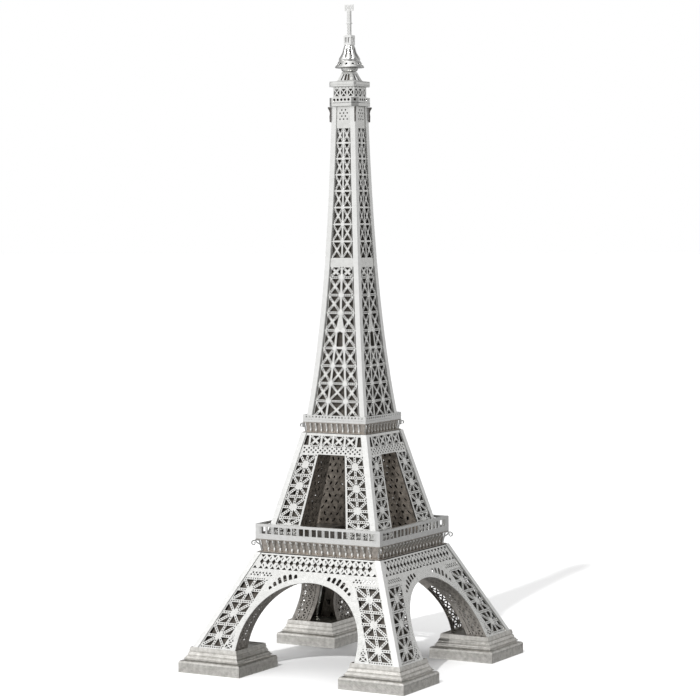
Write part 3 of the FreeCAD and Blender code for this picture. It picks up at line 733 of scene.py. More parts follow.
def soffitMesh(depth):
    onFace = legFace.place(arch["setback"] + gauge + clearance)
    length = math.pi * arch["radius"] + 2 * (arch["spring"] - soffit["footGap"])
    count = int(length / soffit["cell"])
    cellLength = length / count
    inner = depth - soffit["edge"]

    def put(along, back, thickness):
        x, s, dx, ds = archPoint(along)
        px, py, pz = onFace(x + dx * thickness, s + ds * thickness, 0)
        return px, py + back, pz

    # a patch for each cell, because a long strip bent after its fill would cut across the arch
    patches = []
    for step in range(count):
        left, right = step * cellLength, (step + 1) * cellLength
        middle = (left + right) / 2
        outline = [(left, 0), (middle, 0), (right, 0), (right, depth), (middle, depth), (left, depth)]
        loops = []
        for low, high in ((0.5, inner / 2), (inner / 2, inner - 0.5)):
            loops += bracedCell(*rectangle(left, low, right, high), soffit["bar"])
        loops += perforate((left, inner + 0.1), (right, inner + 0.1), 0.9, 0.45, 0.3)
        patches.append(layOn(flatMesh([outline] + loops), put, gauge))

    radius, steps = arch["radius"] + gauge, soffit["turnSteps"]
    start, end = soffit["turnFrom"], 180 - soffit["turnFrom"]
    turns = [math.radians(between(start, end, i / steps)) for i in range(steps + 1)]
    tall = radius + soffit["upstand"]
    wall = [(reach * math.cos(a), arch["spring"] + reach * math.sin(a))
            for reach, row in ((radius, turns), (tall, turns[::-1])) for a in row]

    def putWall(x, s, thickness):
        px, py, pz = onFace(x, s, 0)
        return px, py + depth - thickness, pz

    upstand = layOn(flatMesh([wall]), putWall, gauge)
    return joinMeshes(patches + [upstand])


def makeSoffits():
    # the soffits are coloured in painted shade
    for side, turn in sides.items():
        depth = soffit["backDepth"] if side == "back" else soffit["depth"]
        addPiece("archSoffit_" + side, turnedMesh(soffitMesh(depth), turn),
                 ("mediumPaintedShade", "mediumPaintedShade"), ["arch_soffit_" + side])


innerPlate = {
    "reach": 11.0,          # width before the plate is fitted between its two edges
    "rows": 12,
    "columns": 4,
    "first": 1.5,
    "pitch": 2.6,
    "side": 0.8,            # kept clear of holes at the far edge
    "farGap": 1.05,         # from the far edge to the tower's face
}


def makeInnerPlates():
    # two plates at each corner, with leaning oval holes of three widths and three lengths, both faces
    # in painted shade
    foot, top = middle["foot"], middle["gapTop"]
    plate = innerPlate
    reach, rows = plate["reach"], plate["rows"]
    loops = []
    for row in range(rows):
        z = between(foot + 1.6, top - 1.4, row / (rows - 1))
        for column in range(plate["columns"]):
            x = plate["first"] + plate["pitch"] * (column + (row % 2) / 2)
            if x > reach - plate["side"]:
                continue
            lean = math.radians(35 if (row + column) % 3 else -30)
            wide = 0.3 + 0.08 * ((row * 3 + column) % 3)
            tall = 0.62 + 0.16 * ((row + 2 * column) % 3)
            loops.append(tilted(ellipse(0, 0, wide, tall, 8), x, z, lean))

    def edges(z):
        return gapHalf(z), middleFace.half(middleFace.slant(z)) - plate["farGap"]

    def along(u, z, depth):
        near, far = edges(z)
        return between(near, far, u / reach), -near - depth, z

    def across(u, z, depth):
        near, far = edges(z)
        return near + depth, -between(near, far, u / reach), z

    flat = flatMesh(clearLoops(rectangle(0, foot, reach, top), loops))
    plates = joinMeshes([layOn(flat, along, gauge), layOn(flat, across, gauge)])
    addFour("middleInner", plates, ("innerPaintedShade", "innerPaintedShade"), "middle_inner",
            corners)


linings = {
    "outerGap": 1.5,        # of the band linings, in from the tower's face
    "innerGap": 1.8,
    "legBand": (36.9, 42.3),
    "middleBand": (78.35, 85.4),
    "bracedSetback": 2.9,
    "bracedBar": 0.85,
    "bracedIn": 1.2,        # a braced plate's edges, in from those of the leg's strip
    "bracedOut": 2.2,
    "plainSetback": 1.7,
    "plainLevels": (49.9, 63.5, 77.6),
    "plainIn": 0.5,
    "plainOut": 1.9,
    "holes": 7,
    "holeFrom": 53,
    "holeTo": 76,
    "hole": (0.5, 0.9),     # half-width and half-height
}


def makeBandShadeLinings():
    # plain strips in painted shade inside the two friezes, so that their openings read dark
    outerGap, innerGap = linings["outerGap"], linings["innerGap"]
    rings = []
    for face, (low, high) in ((legFace, linings["legBand"]), (middleFace, linings["middleBand"])):
        lowHalf, highHalf = face.half(face.slant(low)), face.half(face.slant(high))
        rings.append(squareLathe([(lowHalf - outerGap, low), (highHalf - outerGap, high),
                                  (highHalf - innerGap, high), (lowHalf - innerGap, low)]))
    addPiece("bandShadeLinings", joinMeshes(rings), ("darkPaintedShade",), [])


def stripPlate(levels, insides, outsides, bar):
    # a braced plate of four-sided cells, given its inner and outer edge at each level
    outline = [(insides[0], levels[0]), (outsides[0], levels[0]), (outsides[-1], levels[-1]),
               (insides[-1], levels[-1])]
    loops = []
    if bar:
        for i in range(len(levels) - 1):
            loops += bracedCell((insides[i], levels[i]), (outsides[i], levels[i]),
                                (outsides[i + 1], levels[i + 1]), (insides[i + 1], levels[i + 1]),
                                bar, star=True)
    return clearLoops(outline, loops)


def bothHands(loops, place):
    return [
        layOn(flatMesh([[(sign * x, y) for x, y in loop] for loop in loops]), place, gauge)
        for sign in (1, -1)
    ]


def makeStripPlates():
    # braced plates that face into the lower legs, and plain ones behind the middle strips, both
    # coloured in painted shade
    k = linings
    levels = [legFace.slant(z) for z in arch["cells"]]
    inner = [legStrip(s)[1] + k["bracedIn"] for s in levels]
    outer = [legStrip(s)[0] - k["bracedOut"] for s in levels]
    braced = bothHands(stripPlate(levels, inner, outer, k["bracedBar"]),
                       legFace.place(k["bracedSetback"]))

    levels = [middleFace.slant(z) for z in k["plainLevels"]]
    inner = [gapHalf(z) + k["plainIn"] for z in k["plainLevels"]]
    outer = [middleFace.half(s) - k["plainOut"] for s in levels]
    loops = stripPlate(levels, inner, outer, 0)
    for step in range(k["holes"]):
        z = between(k["holeFrom"], k["holeTo"], step / (k["holes"] - 1))
        s = middleFace.slant(z)
        x = between(gapHalf(z), middleFace.half(s), 0.35 + 0.25 * (step % 2))
        loops.append(ellipse(x, s, *k["hole"], 8))
    plain = bothHands(loops, middleFace.place(k["plainSetback"]))
    for name, meshes, finishName in (("legBracing", braced, "mediumPaintedShade"),
                                     ("middleShadeLinings", plain, "darkPaintedShade")):
        whole = joinMeshes([turnedMesh(mesh, turn) for mesh in meshes for turn in sides.values()])
        addPiece(name, whole, (finishName, finishName), [])


makeSoffits()
makeInnerPlates()
makeBandShadeLinings()
makeStripPlates()
print("soffits and inner plates ready")

# Spire

spire = {
    "foot": 90.2,
    "top": 204.0,
    "floor": 3.4,
    "flare": 8.92,
    "decay": 62.5,
    "bay": 6.4,
    "bandFoot": 146.1,
    "bandTop": 148.8,
    "bar": 0.86,
    "hole": 0.4,
    "field": 2.3,           # the lattice starts this far in from the face's edge
    "lowerFrom": 97.2,
    "lowerBays": 8,
    "upperBays": 8,
    "bayFall": 0.1,         # each upper bay is this much lower than the one under it
    "columnHalf": 3.6,      # of the gap between the two inner columns, at its foot
    "columnLean": 0.0887,
    "columnTop": 129,
    "diamondRows": (199.4, 200.5, 201.6, 202.7),
    "hubGauge": 0.1,
    "hubLift": 0.11,
}


def spireHalf(height):
    return spire["floor"] + spire["flare"] * math.exp(-(height - spire["foot"]) / spire["decay"])


def spireLevels():
    rises = [spire["lowerFrom"] + spire["bay"] * step for step in range(spire["lowerBays"])]
    upper = [spire["bandTop"]]
    while len(upper) <= spire["upperBays"]:
        upper.append(upper[-1] + spire["bay"] - spire["bayFall"] * len(upper))
    return [spire["foot"] + 0.6] + rises, upper


def columnHalf(height):
    # the two inner columns close on the centre line as the spire narrows
    if height >= spire["columnTop"]:
        return 0.0
    return max(spire["columnHalf"] - spire["columnLean"] * (height - spire["lowerFrom"]), 0.0)


def fieldHalf(height):
    return spireHalf(height) - spire["field"]


def spireLoops():
    lower, upper = spireLevels()
    lower = lower + [spire["bandFoot"]]
    bar, hole = spire["bar"], spire["hole"]
    loops = []
    for low, high in zip(lower, lower[1:]):
        inLow, inHigh = columnHalf(low), columnHalf(high)
        loops += mirrored(bracedCell((inLow, low), (fieldHalf(low), low), (fieldHalf(high), high),
                                     (inHigh, high), bar, hole=hole, pitch=0.8, hub=0.85))
        loops += mirrored([seam(spireHalf, arch["flange"], low, high)])
        if inHigh > 1.6:
            loops += bracedCell((-inLow, low), (inLow, low), (inHigh, high), (-inHigh, high),
                                0.74, hole=0.32, pitch=0.64, hub=0.9)
        elif inLow > 0.9:
            loops.append(insetLoop([(-inLow, low), (inLow, low), (inHigh + 0.2, high),
                                    (-inHigh - 0.2, high)], 0.5))
    for low, high in zip(upper, upper[1:]):
        loops += mirrored(bracedCell((0, low), (fieldHalf(low), low), (fieldHalf(high), high),
                                     (0, high), 0.66, hole=0.28, pitch=0.58, hub=0.7, rim=False))
        loops += mirrored([seam(spireHalf, arch["flange"], low, high)])
    for row, height in enumerate(spire["diamondRows"]):
        for step in range(-1, 2):
            x = (step + (row % 2) / 2) * 1.5
            if abs(x) < 2.0:
                loops.append(diamond(x, height, 0.38, 0.36))
    return [loop for loop in loops if loop]


def spireOutline():
    lower, upper = spireLevels()
    heights = [spire["foot"]] + lower[1:] + upper + [spire["top"]]
    right = [(spireHalf(z) - panelEdge, z) for z in heights]
    return right + [(-x, z) for x, z in reversed(right)]


def placeOnSpire(x, z, depth):
    return x, -(spireHalf(z) - arch["setback"] - depth), z


def makeSpirePanels():
    flat = flatMesh(clearLoops(spireOutline(), spireLoops()))
    addFour("spireLattice", layOn(flat, placeOnSpire, gauge), ("brightSteel", "innerPaintedShade"),
            "spire_panel", sides)


def starLoop(x, y, radius, points=8, waist=0.66):
    turn = math.pi / points
    reaches = [radius if i % 2 == 0 else radius * waist for i in range(2 * points)]
    return [(x + r * math.cos(turn * i), y + r * math.sin(turn * i)) for i, r in enumerate(reaches)]


def makeSpireHubs():
    # thin stars over the joints of the spire's bars
    lower, upper = spireLevels()
    joints = [(0.0, z, 0.95) for z in upper[1:-1]]
    for z in lower[1:]:
        column = columnHalf(z)
        joints += [(0.0, z, 1.15)] if column < 0.6 else [(-column, z, 1.1), (column, z, 1.1)]

    def put(x, z, depth):
        return placeOnSpire(x, z, depth - spire["hubLift"])

    plates = joinMeshes([layOn(flatMesh([starLoop(*joint)]), put, spire["hubGauge"])
                         for joint in joints])
    whole = joinMeshes([turnedMesh(plates, turn) for turn in sides.values()])
    addPiece("spireHubs", whole, ("angleSteel", "angleSteel"), [])


makeSpirePanels()
makeSpireHubs()
print("spire panels ready")

# Galleries

def foldedWall(half):
    # a wall of a square strip; the mitres keep the four walls apart at the corners
    def put(x, z, depth):
        return x * (half - depth) / half, -half + depth, z

    return put


def fourWalls(loops, half, thickness=gauge):
    wall = layOn(flatMesh(clearLoops(loops[0], loops[1:])), foldedWall(half), thickness)
    return joinMeshes([turnedMesh(wall, turn) for turn in sides.values()])


gallery = {
    "half": 26.0,
    "base": 47.4,
    "ledgeTop": 49.2,
    "railFoot": 52.0,
    "railTop": 52.9,
    "postPitch": 5.35,
    "posts": 10,
    "postWidth": 1.1,
    "thinPost": 0.55,
    "groove": 0.13,
    "grooveGap": 0.24,      # from a post's centre line to each of its two grooves
    "finPitch": 2.5,
    "fins": 18,
    "finGauge": 0.5,
    "finFoot": 42.86,
    "finHead": 47.05,
}


def balustradeLoops():
    g = gallery
    half = g["half"]
    loops = [rectangle(-half, g["base"], half, g["railTop"])]
    low, high = g["ledgeTop"] + 0.15, g["railFoot"] - 0.1
    first = -(g["posts"] - 1) / 2 * g["postPitch"]
    for post in range(g["posts"]):
        x = first + post * g["postPitch"]
        for side in (-1, 1):
            slot = x + side * g["grooveGap"]
            loops.append(rectangle(slot - g["groove"] / 2, low, slot + g["groove"] / 2, high))
        if post < g["posts"] - 1:
            middle = x + g["postPitch"] / 2
            left = x + g["postWidth"] / 2
            right = x + g["postPitch"] - g["postWidth"] / 2
            loops.append(rectangle(left, low, middle - g["thinPost"] / 2, high))
            loops.append(rectangle(middle + g["thinPost"] / 2, low, right, high))
    return loops


def strokeLoop(points, widths):
    # the outline of a curved strap, from its centre line and its width at each point
    left, right = [], []
    for i, (x, y) in enumerate(points):
        ax, ay = points[max(i - 1, 0)]
        bx, by = points[min(i + 1, len(points) - 1)]
        length = math.hypot(bx - ax, by - ay)
        nx, ny = (ay - by) / length, (bx - ax) / length
        half = widths[i] / 2
        left.append((x + nx * half, y + ny * half))
        right.append((x - nx * half, y - ny * half))
    return left + right[::-1]


def spiral(cx, cy, radius, start, turn, count, shrink):
    points = []
    for i in range(count + 1):
        reach, angle = radius * (1 - shrink * i / count), start + turn * i / count
        points.append((cx + reach * math.cos(angle), cy + reach * math.sin(angle)))
    return points


def finMesh(loops, thickness):
    # a plate that stands square to the front wall: outline in (out from the axis, height)
    def put(out, z, depth):
        return -thickness / 2 + depth, -out, z

    return layOn(flatMesh(loops), put, thickness)


def finRow(loops, thickness, count, pitch):
    plate = finMesh(loops, thickness)
    meshes = []
    for turn in sides.values():
        for step in range(count):
            copy = plate.copy()
            copy.transform(Matrix.Translation(((step - (count - 1) / 2) * pitch * mm, 0, 0)))
            meshes.append(turnedMesh(copy, turn))
    return meshes


def cornerPlates(loops, thickness):
    plate = finMesh(loops, thickness)
    return [turnedMesh(plate, turn + 45) for turn in corners.values()]


def consoleLoops(rootLow, rootHigh, tip, low, high):
    # wide at the head, waisted below, with an eye near the top
    reach = tip - rootHigh
    rise = high - low
    outer = [
        (rootLow + 0.55, low),
        (rootLow + 0.70, low + 0.16 * rise),
        (rootLow + 0.50, low + 0.34 * rise),
        (rootHigh + 0.34 * reach, low + 0.52 * rise),
        (rootHigh + 0.62 * reach, low + 0.68 * rise),
        (rootHigh + 0.94 * reach, low + 0.80 * rise),
        (tip, low + 0.93 * rise),
        (tip, high),
    ]
    eye = ellipse(rootHigh + 0.45 * reach, low + 0.84 * rise, 0.26 * reach, 0.075 * rise, 10)
    return [[(rootLow, low)] + outer + [(rootHigh, high)], eye]


def cornerScrollLoops(rootLow, rootHigh, tip, low, high):
    # a corner bracket, and the strap that rises in front of it and curls into an eye
    steps = 16
    rise = high - low
    reach = tip - rootHigh
    eyeX, eyeZ = tip - 0.28 * reach, high - 0.30 * rise
    line = [
        (rootLow + 0.25, low),
        (rootLow + 0.35, low + 0.25 * rise),
        (rootLow + 0.55, low + 0.5 * rise),
        (between(rootHigh, tip, 0.45), low + 0.78 * rise),
    ]
    line += spiral(eyeX, eyeZ, 0.25 * rise, math.radians(135), -math.radians(400), steps, 0.72)
    widths = [0.55, 0.5, 0.5, 0.45] + [between(0.42, 0.22, i / steps) for i in range(steps + 1)]
    front = tip - 0.4 * reach
    bracket = [(rootLow, low), (rootLow + 0.5, low), (rootHigh + 0.5, high - 0.5),
               (front, high - 0.28), (front, high), (rootHigh, high)]
    return [bracket], [strokeLoop(line, widths)]


def makeFirstGallery():
    g = gallery
    half, top = g["half"], g["railTop"]
    wall = fourWalls(balustradeLoops(), half)
    lip = squareLathe([(half - 0.27, top - 0.25), (half - 0.27, top), (half - 1.2, top),
                       (half - 1.2, top - 0.2)])
    addPiece("galleryRailing", joinMeshes([wall, lip]), ("angleSteel", "innerPaintedShade"),
             ["gallery_railing"])
    low, high = g["finFoot"], g["finHead"]
    fins = finRow(consoleLoops(24.13, 24.72, 25.98, low, high), g["finGauge"], g["fins"],
                  g["finPitch"])
    plates, straps = cornerScrollLoops(24.15 * diagonal, 24.8 * diagonal, half * diagonal + 1.5,
                                       low, high)
    fins += cornerPlates(plates, 0.3) + cornerPlates(straps, 0.5)
    addPiece("galleryConsoles", joinMeshes(fins), ("angleSteel", "angleSteel"),
             ["gallery_brackets"])


upperGallery = {
    "half": 13.2,
    "base": 89.5,
    "railTop": 92.1,
    "holes": 18,
    "holePitch": 1.37,
    "holeHalf": 0.33,
    "finPitch": 2.25,
    "fins": 10,
    "finGauge": 0.42,
    "finFoot": 85.96,
    "finHead": 89.15,
}


def makeSecondGallery():
    g = upperGallery
    half, base, top = g["half"], g["base"], g["railTop"]
    loops = [rectangle(-half, base, half, top)]
    for step in range(g["holes"]):
        x = (step - (g["holes"] - 1) / 2) * g["holePitch"]
        loops.append(rectangle(x - g["holeHalf"], top - 1.0, x + g["holeHalf"], top - 0.4))
    loops += perforate((-half + 0.5, base + 0.9), (half - 0.5, base + 0.9), 0.68, 0.2, 0.3)
    addPiece("upperRailing", fourWalls(loops, half), ("angleSteel", "innerPaintedShade"),
             ["upper_gallery_railing"])
    low, high = g["finFoot"], g["finHead"]
    fins = finRow(consoleLoops(12.17, 12.52, 13.18, low, high), g["finGauge"], g["fins"],
                  g["finPitch"])
    plates, straps = cornerScrollLoops(12.2 * diagonal, 12.6 * diagonal, half * diagonal + 0.8,
                                       low, high)
    fins += cornerPlates(plates, 0.25) + cornerPlates(straps, 0.4)
    addPiece("upperConsoles", joinMeshes(fins), ("angleSteel", "angleSteel"),
             ["upper_brackets"])


makeFirstGallery()
makeSecondGallery()
print("galleries ready")

# Pedestals

pedestal = {
    "centre": 33.5,
    "half": 13.0,
    "top": 4.4,
    "bandFoot": 0.35,
    "bandDrop": 1.15,       # from the plinth's top to the top of the stippled band
    "stippleStep": 0.26,
    "stippleDepth": 0.09,
    "groove": 11.6,         # half-width where the plinth's bevel ends
    "rim": 9.85,
    "height": 9.0,
    "seat": 8.45,
}


def stippledBand(half, low, high):
    # the plinth's upright band, its face hammered in a small zigzag
    p = pedestal
    columns = int(2 * half / p["stippleStep"])
    rows = int((high - low) / p["stippleStep"])

    def build(shape):
        for turn in sides.values():
            spin = Matrix.Rotation(math.radians(turn), 3, "Z")
            grid = []
            for row in range(rows + 1):
                z = between(low, high, row / rows)
                line = []
                for column in range(columns + 1):
                    x = between(-half, half, column / columns)
                    edge = row in (0, rows) or column in (0, columns)
                    zig = (column + 2 * abs((row % 4) - 2)) % 4 < 2
                    sink = 0 if edge or not zig else p["stippleDepth"]
                    line.append(shape.verts.new(spin @ Vector((x, -half + sink, z)) * mm))
                grid.append(line)
            for lower, upper in zip(grid, grid[1:]):
                for i in range(columns):
                    shape.faces.new([lower[i], lower[i + 1], upper[i + 1], upper[i]])

    return meshOf(build)


def plinthMesh():
    p = pedestal
    half, top, groove = p["half"], p["top"], p["groove"]
    bandTop = top - p["bandDrop"]
    band = stippledBand(half, p["bandFoot"], bandTop)
    footing = squareLathe([(half, 0.0), (half, p["bandFoot"])], closed=False)
    bevel = [(half, bandTop), (half, top - 0.9), (half - 0.1, top - 0.55), (half - 0.3, top - 0.28),
             (half - 0.6, top - 0.12), (groove, top)]
    inside = [(groove, top - gauge), (half - 0.6, top - 0.4), (half - gauge, top - 0.95),
              (half - gauge, 0), (half, 0)]
    return joinMeshes([band, footing, squareLathe(bevel + inside, closed=False)])


def mouldingMesh():
    # a stepped foot, a slope, and two small steps under the rim, with a floor for the leg
    p = pedestal
    groove, rim, low = p["groove"], p["rim"], p["top"] + clearance
    foot = [(groove - 0.45, 0), (groove - 0.45, 0.3), (groove + 0.05, 0.34), (groove + 0.05, 0.62),
            (groove - 0.35, 0.68), (groove - 0.5, 1.15), (groove - 0.78, 1.5), (groove - 1.1, 1.56),
            (groove - 1.1, 1.8), (groove - 0.92, 1.86)]
    slope = [(rim + 0.5, 2.5), (rim + 0.36, 2.85), (rim + 0.1, 2.9), (rim + 0.1, 3.1),
             (rim + 0.3, 3.16), (rim + 0.24, 3.5)]
    outside = [(half, low + rise) for half, rise in foot + slope] + [(rim, p["height"])]
    inside = [(half - gauge, z) for half, z in reversed(outside)]
    seat = squareLathe([(rim - gauge, p["seat"]), (axis, p["seat"])], closed=False)
    return joinMeshes([squareLathe(outside + inside), seat])


def makePedestals():
    centre = pedestal["centre"]
    meshes = {"plinth": plinthMesh(), "moulding": mouldingMesh()}
    for mesh in meshes.values():
        mesh.transform(Matrix.Translation(Vector((centre, -centre, 0)) * mm))
    for corner, turn in corners.items():
        for name, mesh in meshes.items():
            addPiece(name + "_" + corner, turnedMesh(mesh, turn), ("pedestalSteel",),
                     ["pedestal_" + name + "_" + corner])


makePedestals()
print("pedestals ready")

# Summit

summit = {
    "balconyHalf": 6.1,
    "balconyBase": 204.05,
    "balconyTop": 207.2,
    "chamfer": 1.95,
    "cabinHalf": 4.4,
    "cabinTop": 211.1,
    "roofHalf": 5.65,
    "roofTop": 213.1,
    "roofChamfer": 0.7,
    "porthole": (0.5, 0.48),        # half-width and half-height
    "portholeDrop": 0.85,
    "portholePitch": 1.5,
    "ventPitch": 1.42,
    "flareDrop": 5.6,
    "flareReach": 1.25,
}


def chamferedWalls(wideLoops, narrowLoops, half, chamfer):
    # eight walls: four faces and four cut corners
    face = layOn(flatMesh(wideLoops), foldedWall(half), gauge)
    corner = layOn(flatMesh(narrowLoops), foldedWall((2 * half - chamfer) / diagonal), gauge)
    return ([turnedMesh(face, turn) for turn in sides.values()]
            + [turnedMesh(corner, turn + 45) for turn in corners.values()])


def makeBalcony():
    s = summit
    half, chamfer, base, top = s["balconyHalf"], s["chamfer"], s["balconyBase"], s["balconyTop"]
    cut, narrow = half - chamfer, chamfer / diagonal
    eyeHeight = top - s["portholeDrop"]
    wide = [rectangle(-cut, base, cut, top)]
    wide += [ellipse(step * s["portholePitch"], eyeHeight, *s["porthole"]) for step in range(-2, 3)]
    thin = [rectangle(-narrow, base, narrow, top), ellipse(0, eyeHeight, *s["porthole"])]
    walls = chamferedWalls(wide, thin, half, chamfer)
    floor = squareLathe(section(axis, half - 0.02, base + 0.02, base + gauge), corner=chamfer)
    rib = squareLathe(section(half - 0.05, half, base + 1.1, base + 1.3), corner=chamfer)
    addPiece("summitBalcony", joinMeshes(walls + [floor, rib]), ("brightSteel", "innerPaintedShade"),
             ["summit_balcony"])


def makeCabin():
    s = summit
    half, top = s["cabinHalf"], s["cabinTop"]
    loops = [rectangle(-half, s["balconyBase"] + gauge + clearance, half, top)]
    width = 2 * half / 3
    for step in range(3):
        left = -half + step * width + 0.12
        cell = rectangle(left, s["balconyTop"] + 0.3, left + width - 0.24, top - 0.6)
        loops += bracedCell(*cell, 0.42)
    for step in range(6):
        loops.append(ellipse((step - 2.5) * s["ventPitch"], top - 0.32, 0.2, 0.17, 8))
    addPiece("summitCabin", fourWalls(loops, half), ("brightSteel", "innerPaintedShade"),
             ["summit_cabin"])


def makeRoof():
    s = summit
    half, base, top = s["roofHalf"], s["cabinTop"] + clearance, s["roofTop"]
    inner = s["cabinHalf"] - 1
    outside = [(half - 0.05, base), (half, base + 0.2), (half - 0.08, base + 0.45),
               (half - 0.02, base + 0.7), (half - 0.02, top - 0.5), (half - 0.1, top - 0.3),
               (half, top - 0.15), (half - 0.1, top), (axis, top)]
    inside = [(axis, top - gauge), (half - gauge, top - gauge), (half - gauge, base + gauge),
              (inner, base + gauge), (inner, base)]
    skirt = squareLathe(outside + inside, corner=s["roofChamfer"])
    addPiece("summitRoof", skirt, ("brightSteel",), ["summit_roof"])


def makeFlares():
    low, high = spire["top"] - summit["flareDrop"], spire["top"] - 0.15
    lowRoot, highRoot = spireHalf(low) * diagonal + 0.1, spireHalf(high) * diagonal + 0.12
    tip = highRoot + summit["flareReach"]
    rise = high - low
    flare = [(lowRoot, low), (lowRoot + 0.45, low), (lowRoot + 0.5, low + 0.4 * rise),
             (highRoot + 0.5, low + 0.6 * rise),
             (between(highRoot, tip, 0.62), low + 0.78 * rise), (tip, high - 0.5), (tip, high),
             (highRoot, high)]
    # the brackets are coloured in painted shade
    addPiece("summitBrackets", joinMeshes(cornerPlates([flare], 0.5)), ("dimPaintedShade", "dimPaintedShade"),
             ["summit_brackets"])


def makeSummitShadeCore():
    # blocks in painted shade inside the balcony and the cabin, so that their openings read dark
    s = summit
    top = s["balconyTop"]
    core = [
        squareLathe(section(axis, half, low, high), corner=cut)
        for half, low, high, cut in (
            (5.3, s["balconyBase"] + 0.5, top - 0.2, 1.5),
            (s["cabinHalf"] - 0.7, top - 0.15, s["cabinTop"] - 0.2, 0.3),
        )
    ]
    addPiece("summitShadeCore", joinMeshes(core), ("darkPaintedShade",), [])


def makeSummit():
    makeBalcony()
    makeCabin()
    makeRoof()
    makeFlares()
    makeSummitShadeCore()


makeSummit()
print("summit ready")

# Cupola, lantern and mast

cupola = {
    "drumFoot": 213.16,
    "drumTop": 216.6,
    "drumWide": 3.6,
    "drumNarrow": 2.0,
    "collarTop": 218.1,
    "ringTop": 220.4,
    "ringWide": 5.3,
    "ringNarrow": 4.1,
    "portholes": 12,
    "domeTop": 226.3,
    "domeNarrow": 1.55,
    "petals": 8,
    "lanternTop": 229.9,
    "ledge": 234.4,
    "crossBase": 238.8,
    "crossTop": 241.0,
    "crossHalf": 1.8,
    "portholeRadius": 0.5,
    "bezel": 0.12,
    "lanternHalf": 1.5,
    "mastBar": 0.3,
}


def roundLathe(profile, count=48):
    turn = 2 * math.pi / count

    def build(shape):
        rings = []
        for radius, z in profile:
            rings.append([
                shape.verts.new(
                    Vector((radius * math.cos(turn * i), radius * math.sin(turn * i), z)) * mm
                )
                for i in range(count)
            ])
        for low, high in zip(rings, rings[1:] + rings[:1]):
            for i in range(count):
                j = (i + 1) % count
                shape.faces.new([low[i], low[j], high[j], high[i]])

    return meshOf(build)


def coneWithPortholes(wide, low, narrow, high, holes, holeRadius, thickness):
    # a conical strip with round holes, each in a patch that closes on its neighbours
    steps = 16

    def put(angle, z, depth):
        radius = between(wide, narrow, (z - low) / (high - low)) - depth
        return Vector((radius * math.cos(angle), radius * math.sin(angle), z)) * mm

    def build(shape):
        halfAngle = math.pi / holes
        middle = (low + high) / 2
        radius = (wide + narrow) / 2
        for hole in range(holes):
            centre = (hole + 0.5) * 2 * halfAngle
            rings = {}
            for depth in (0, thickness):
                inner, outer = [], []
                for i in range(steps):
                    t = 2 * math.pi * i / steps
                    c, s = math.cos(t), math.sin(t)
                    reach = 1 / max(abs(c), abs(s))
                    rise = (high - low) / 2 * s * reach
                    hollow = put(centre + holeRadius * c / radius, middle + holeRadius * s, depth)
                    edge = put(centre + halfAngle * c * reach, middle + rise, depth)
                    inner.append(shape.verts.new(hollow))
                    outer.append(shape.verts.new(edge))
                rings[depth] = (inner, outer)
            front, back = rings[0][0], rings[thickness][0]
            for i in range(steps):
                j = (i + 1) % steps
                for inner, outer in rings.values():
                    shape.faces.new([inner[i], inner[j], outer[j], outer[i]])
                shape.faces.new([front[i], front[j], back[j], back[i]])

    return meshOf(build)


def ringMesh(major, minor, around=16, across=6):
    ring = bmesh.new()
    rows = []
    for i in range(around):
        t = 2 * math.pi * i / around
        row = []
        for k in range(across):
            u = 2 * math.pi * k / across
            reach = major + minor * math.cos(u)
            point = Vector((reach * math.cos(t), reach * math.sin(t), minor * math.sin(u)))
            row.append(ring.verts.new(point * mm))
        rows.append(row)
    for a, b in zip(rows, rows[1:] + rows[:1]):
        for k in range(across):
            after = (k + 1) % across
            ring.faces.new([a[k], b[k], b[after], a[after]])
    return written(ring)


def portholeBezels(wide, low, narrow, high, holes, holeRadius):
    radius, middle = (wide + narrow) / 2, (low + high) / 2
    lean = math.atan2(wide - narrow, high - low)
    bezel = cupola["bezel"]
    ring = ringMesh(holeRadius + bezel, bezel)
    ring.transform(Matrix.Rotation(math.pi / 2 - lean, 4, "Y"))
    ring.transform(Matrix.Translation(((radius - bezel) * mm, 0, middle * mm)))
    return [turnedMesh(ring, (hole + 0.5) * 360 / holes) for hole in range(holes)]


def drumWalls():
    # four leaning walls, each with three round-headed openings
    c = cupola
    low, high, wide = c["drumFoot"], c["drumTop"], c["drumWide"]
    steps, bend = 6, 0.8
    openHalf, openPitch = 0.55, 1.55
    foot, head = low + 0.35, high - 1.35

    def put(x, z, depth):
        half = between(wide, c["drumNarrow"], ((z - low) / (high - low)) ** bend) - depth
        return x / wide * half, -half, z

    right = [(wide, between(low, high, i / steps)) for i in range(steps + 1)]
    outline = right + [(-x, z) for x, z in reversed(right)]
    arches = []
    for step in (-1, 0, 1):
        centre = step * openPitch
        turns = [math.pi * i / 8 for i in range(9)]
        curve = [(centre + openHalf * math.cos(a), head + openHalf * math.sin(a)) for a in turns]
        arches.append([(centre + openHalf, foot)] + curve + [(centre - openHalf, foot)])
    wall = layOn(flatMesh([outline] + arches), put, gauge)
    return [turnedMesh(wall, turn) for turn in sides.values()]


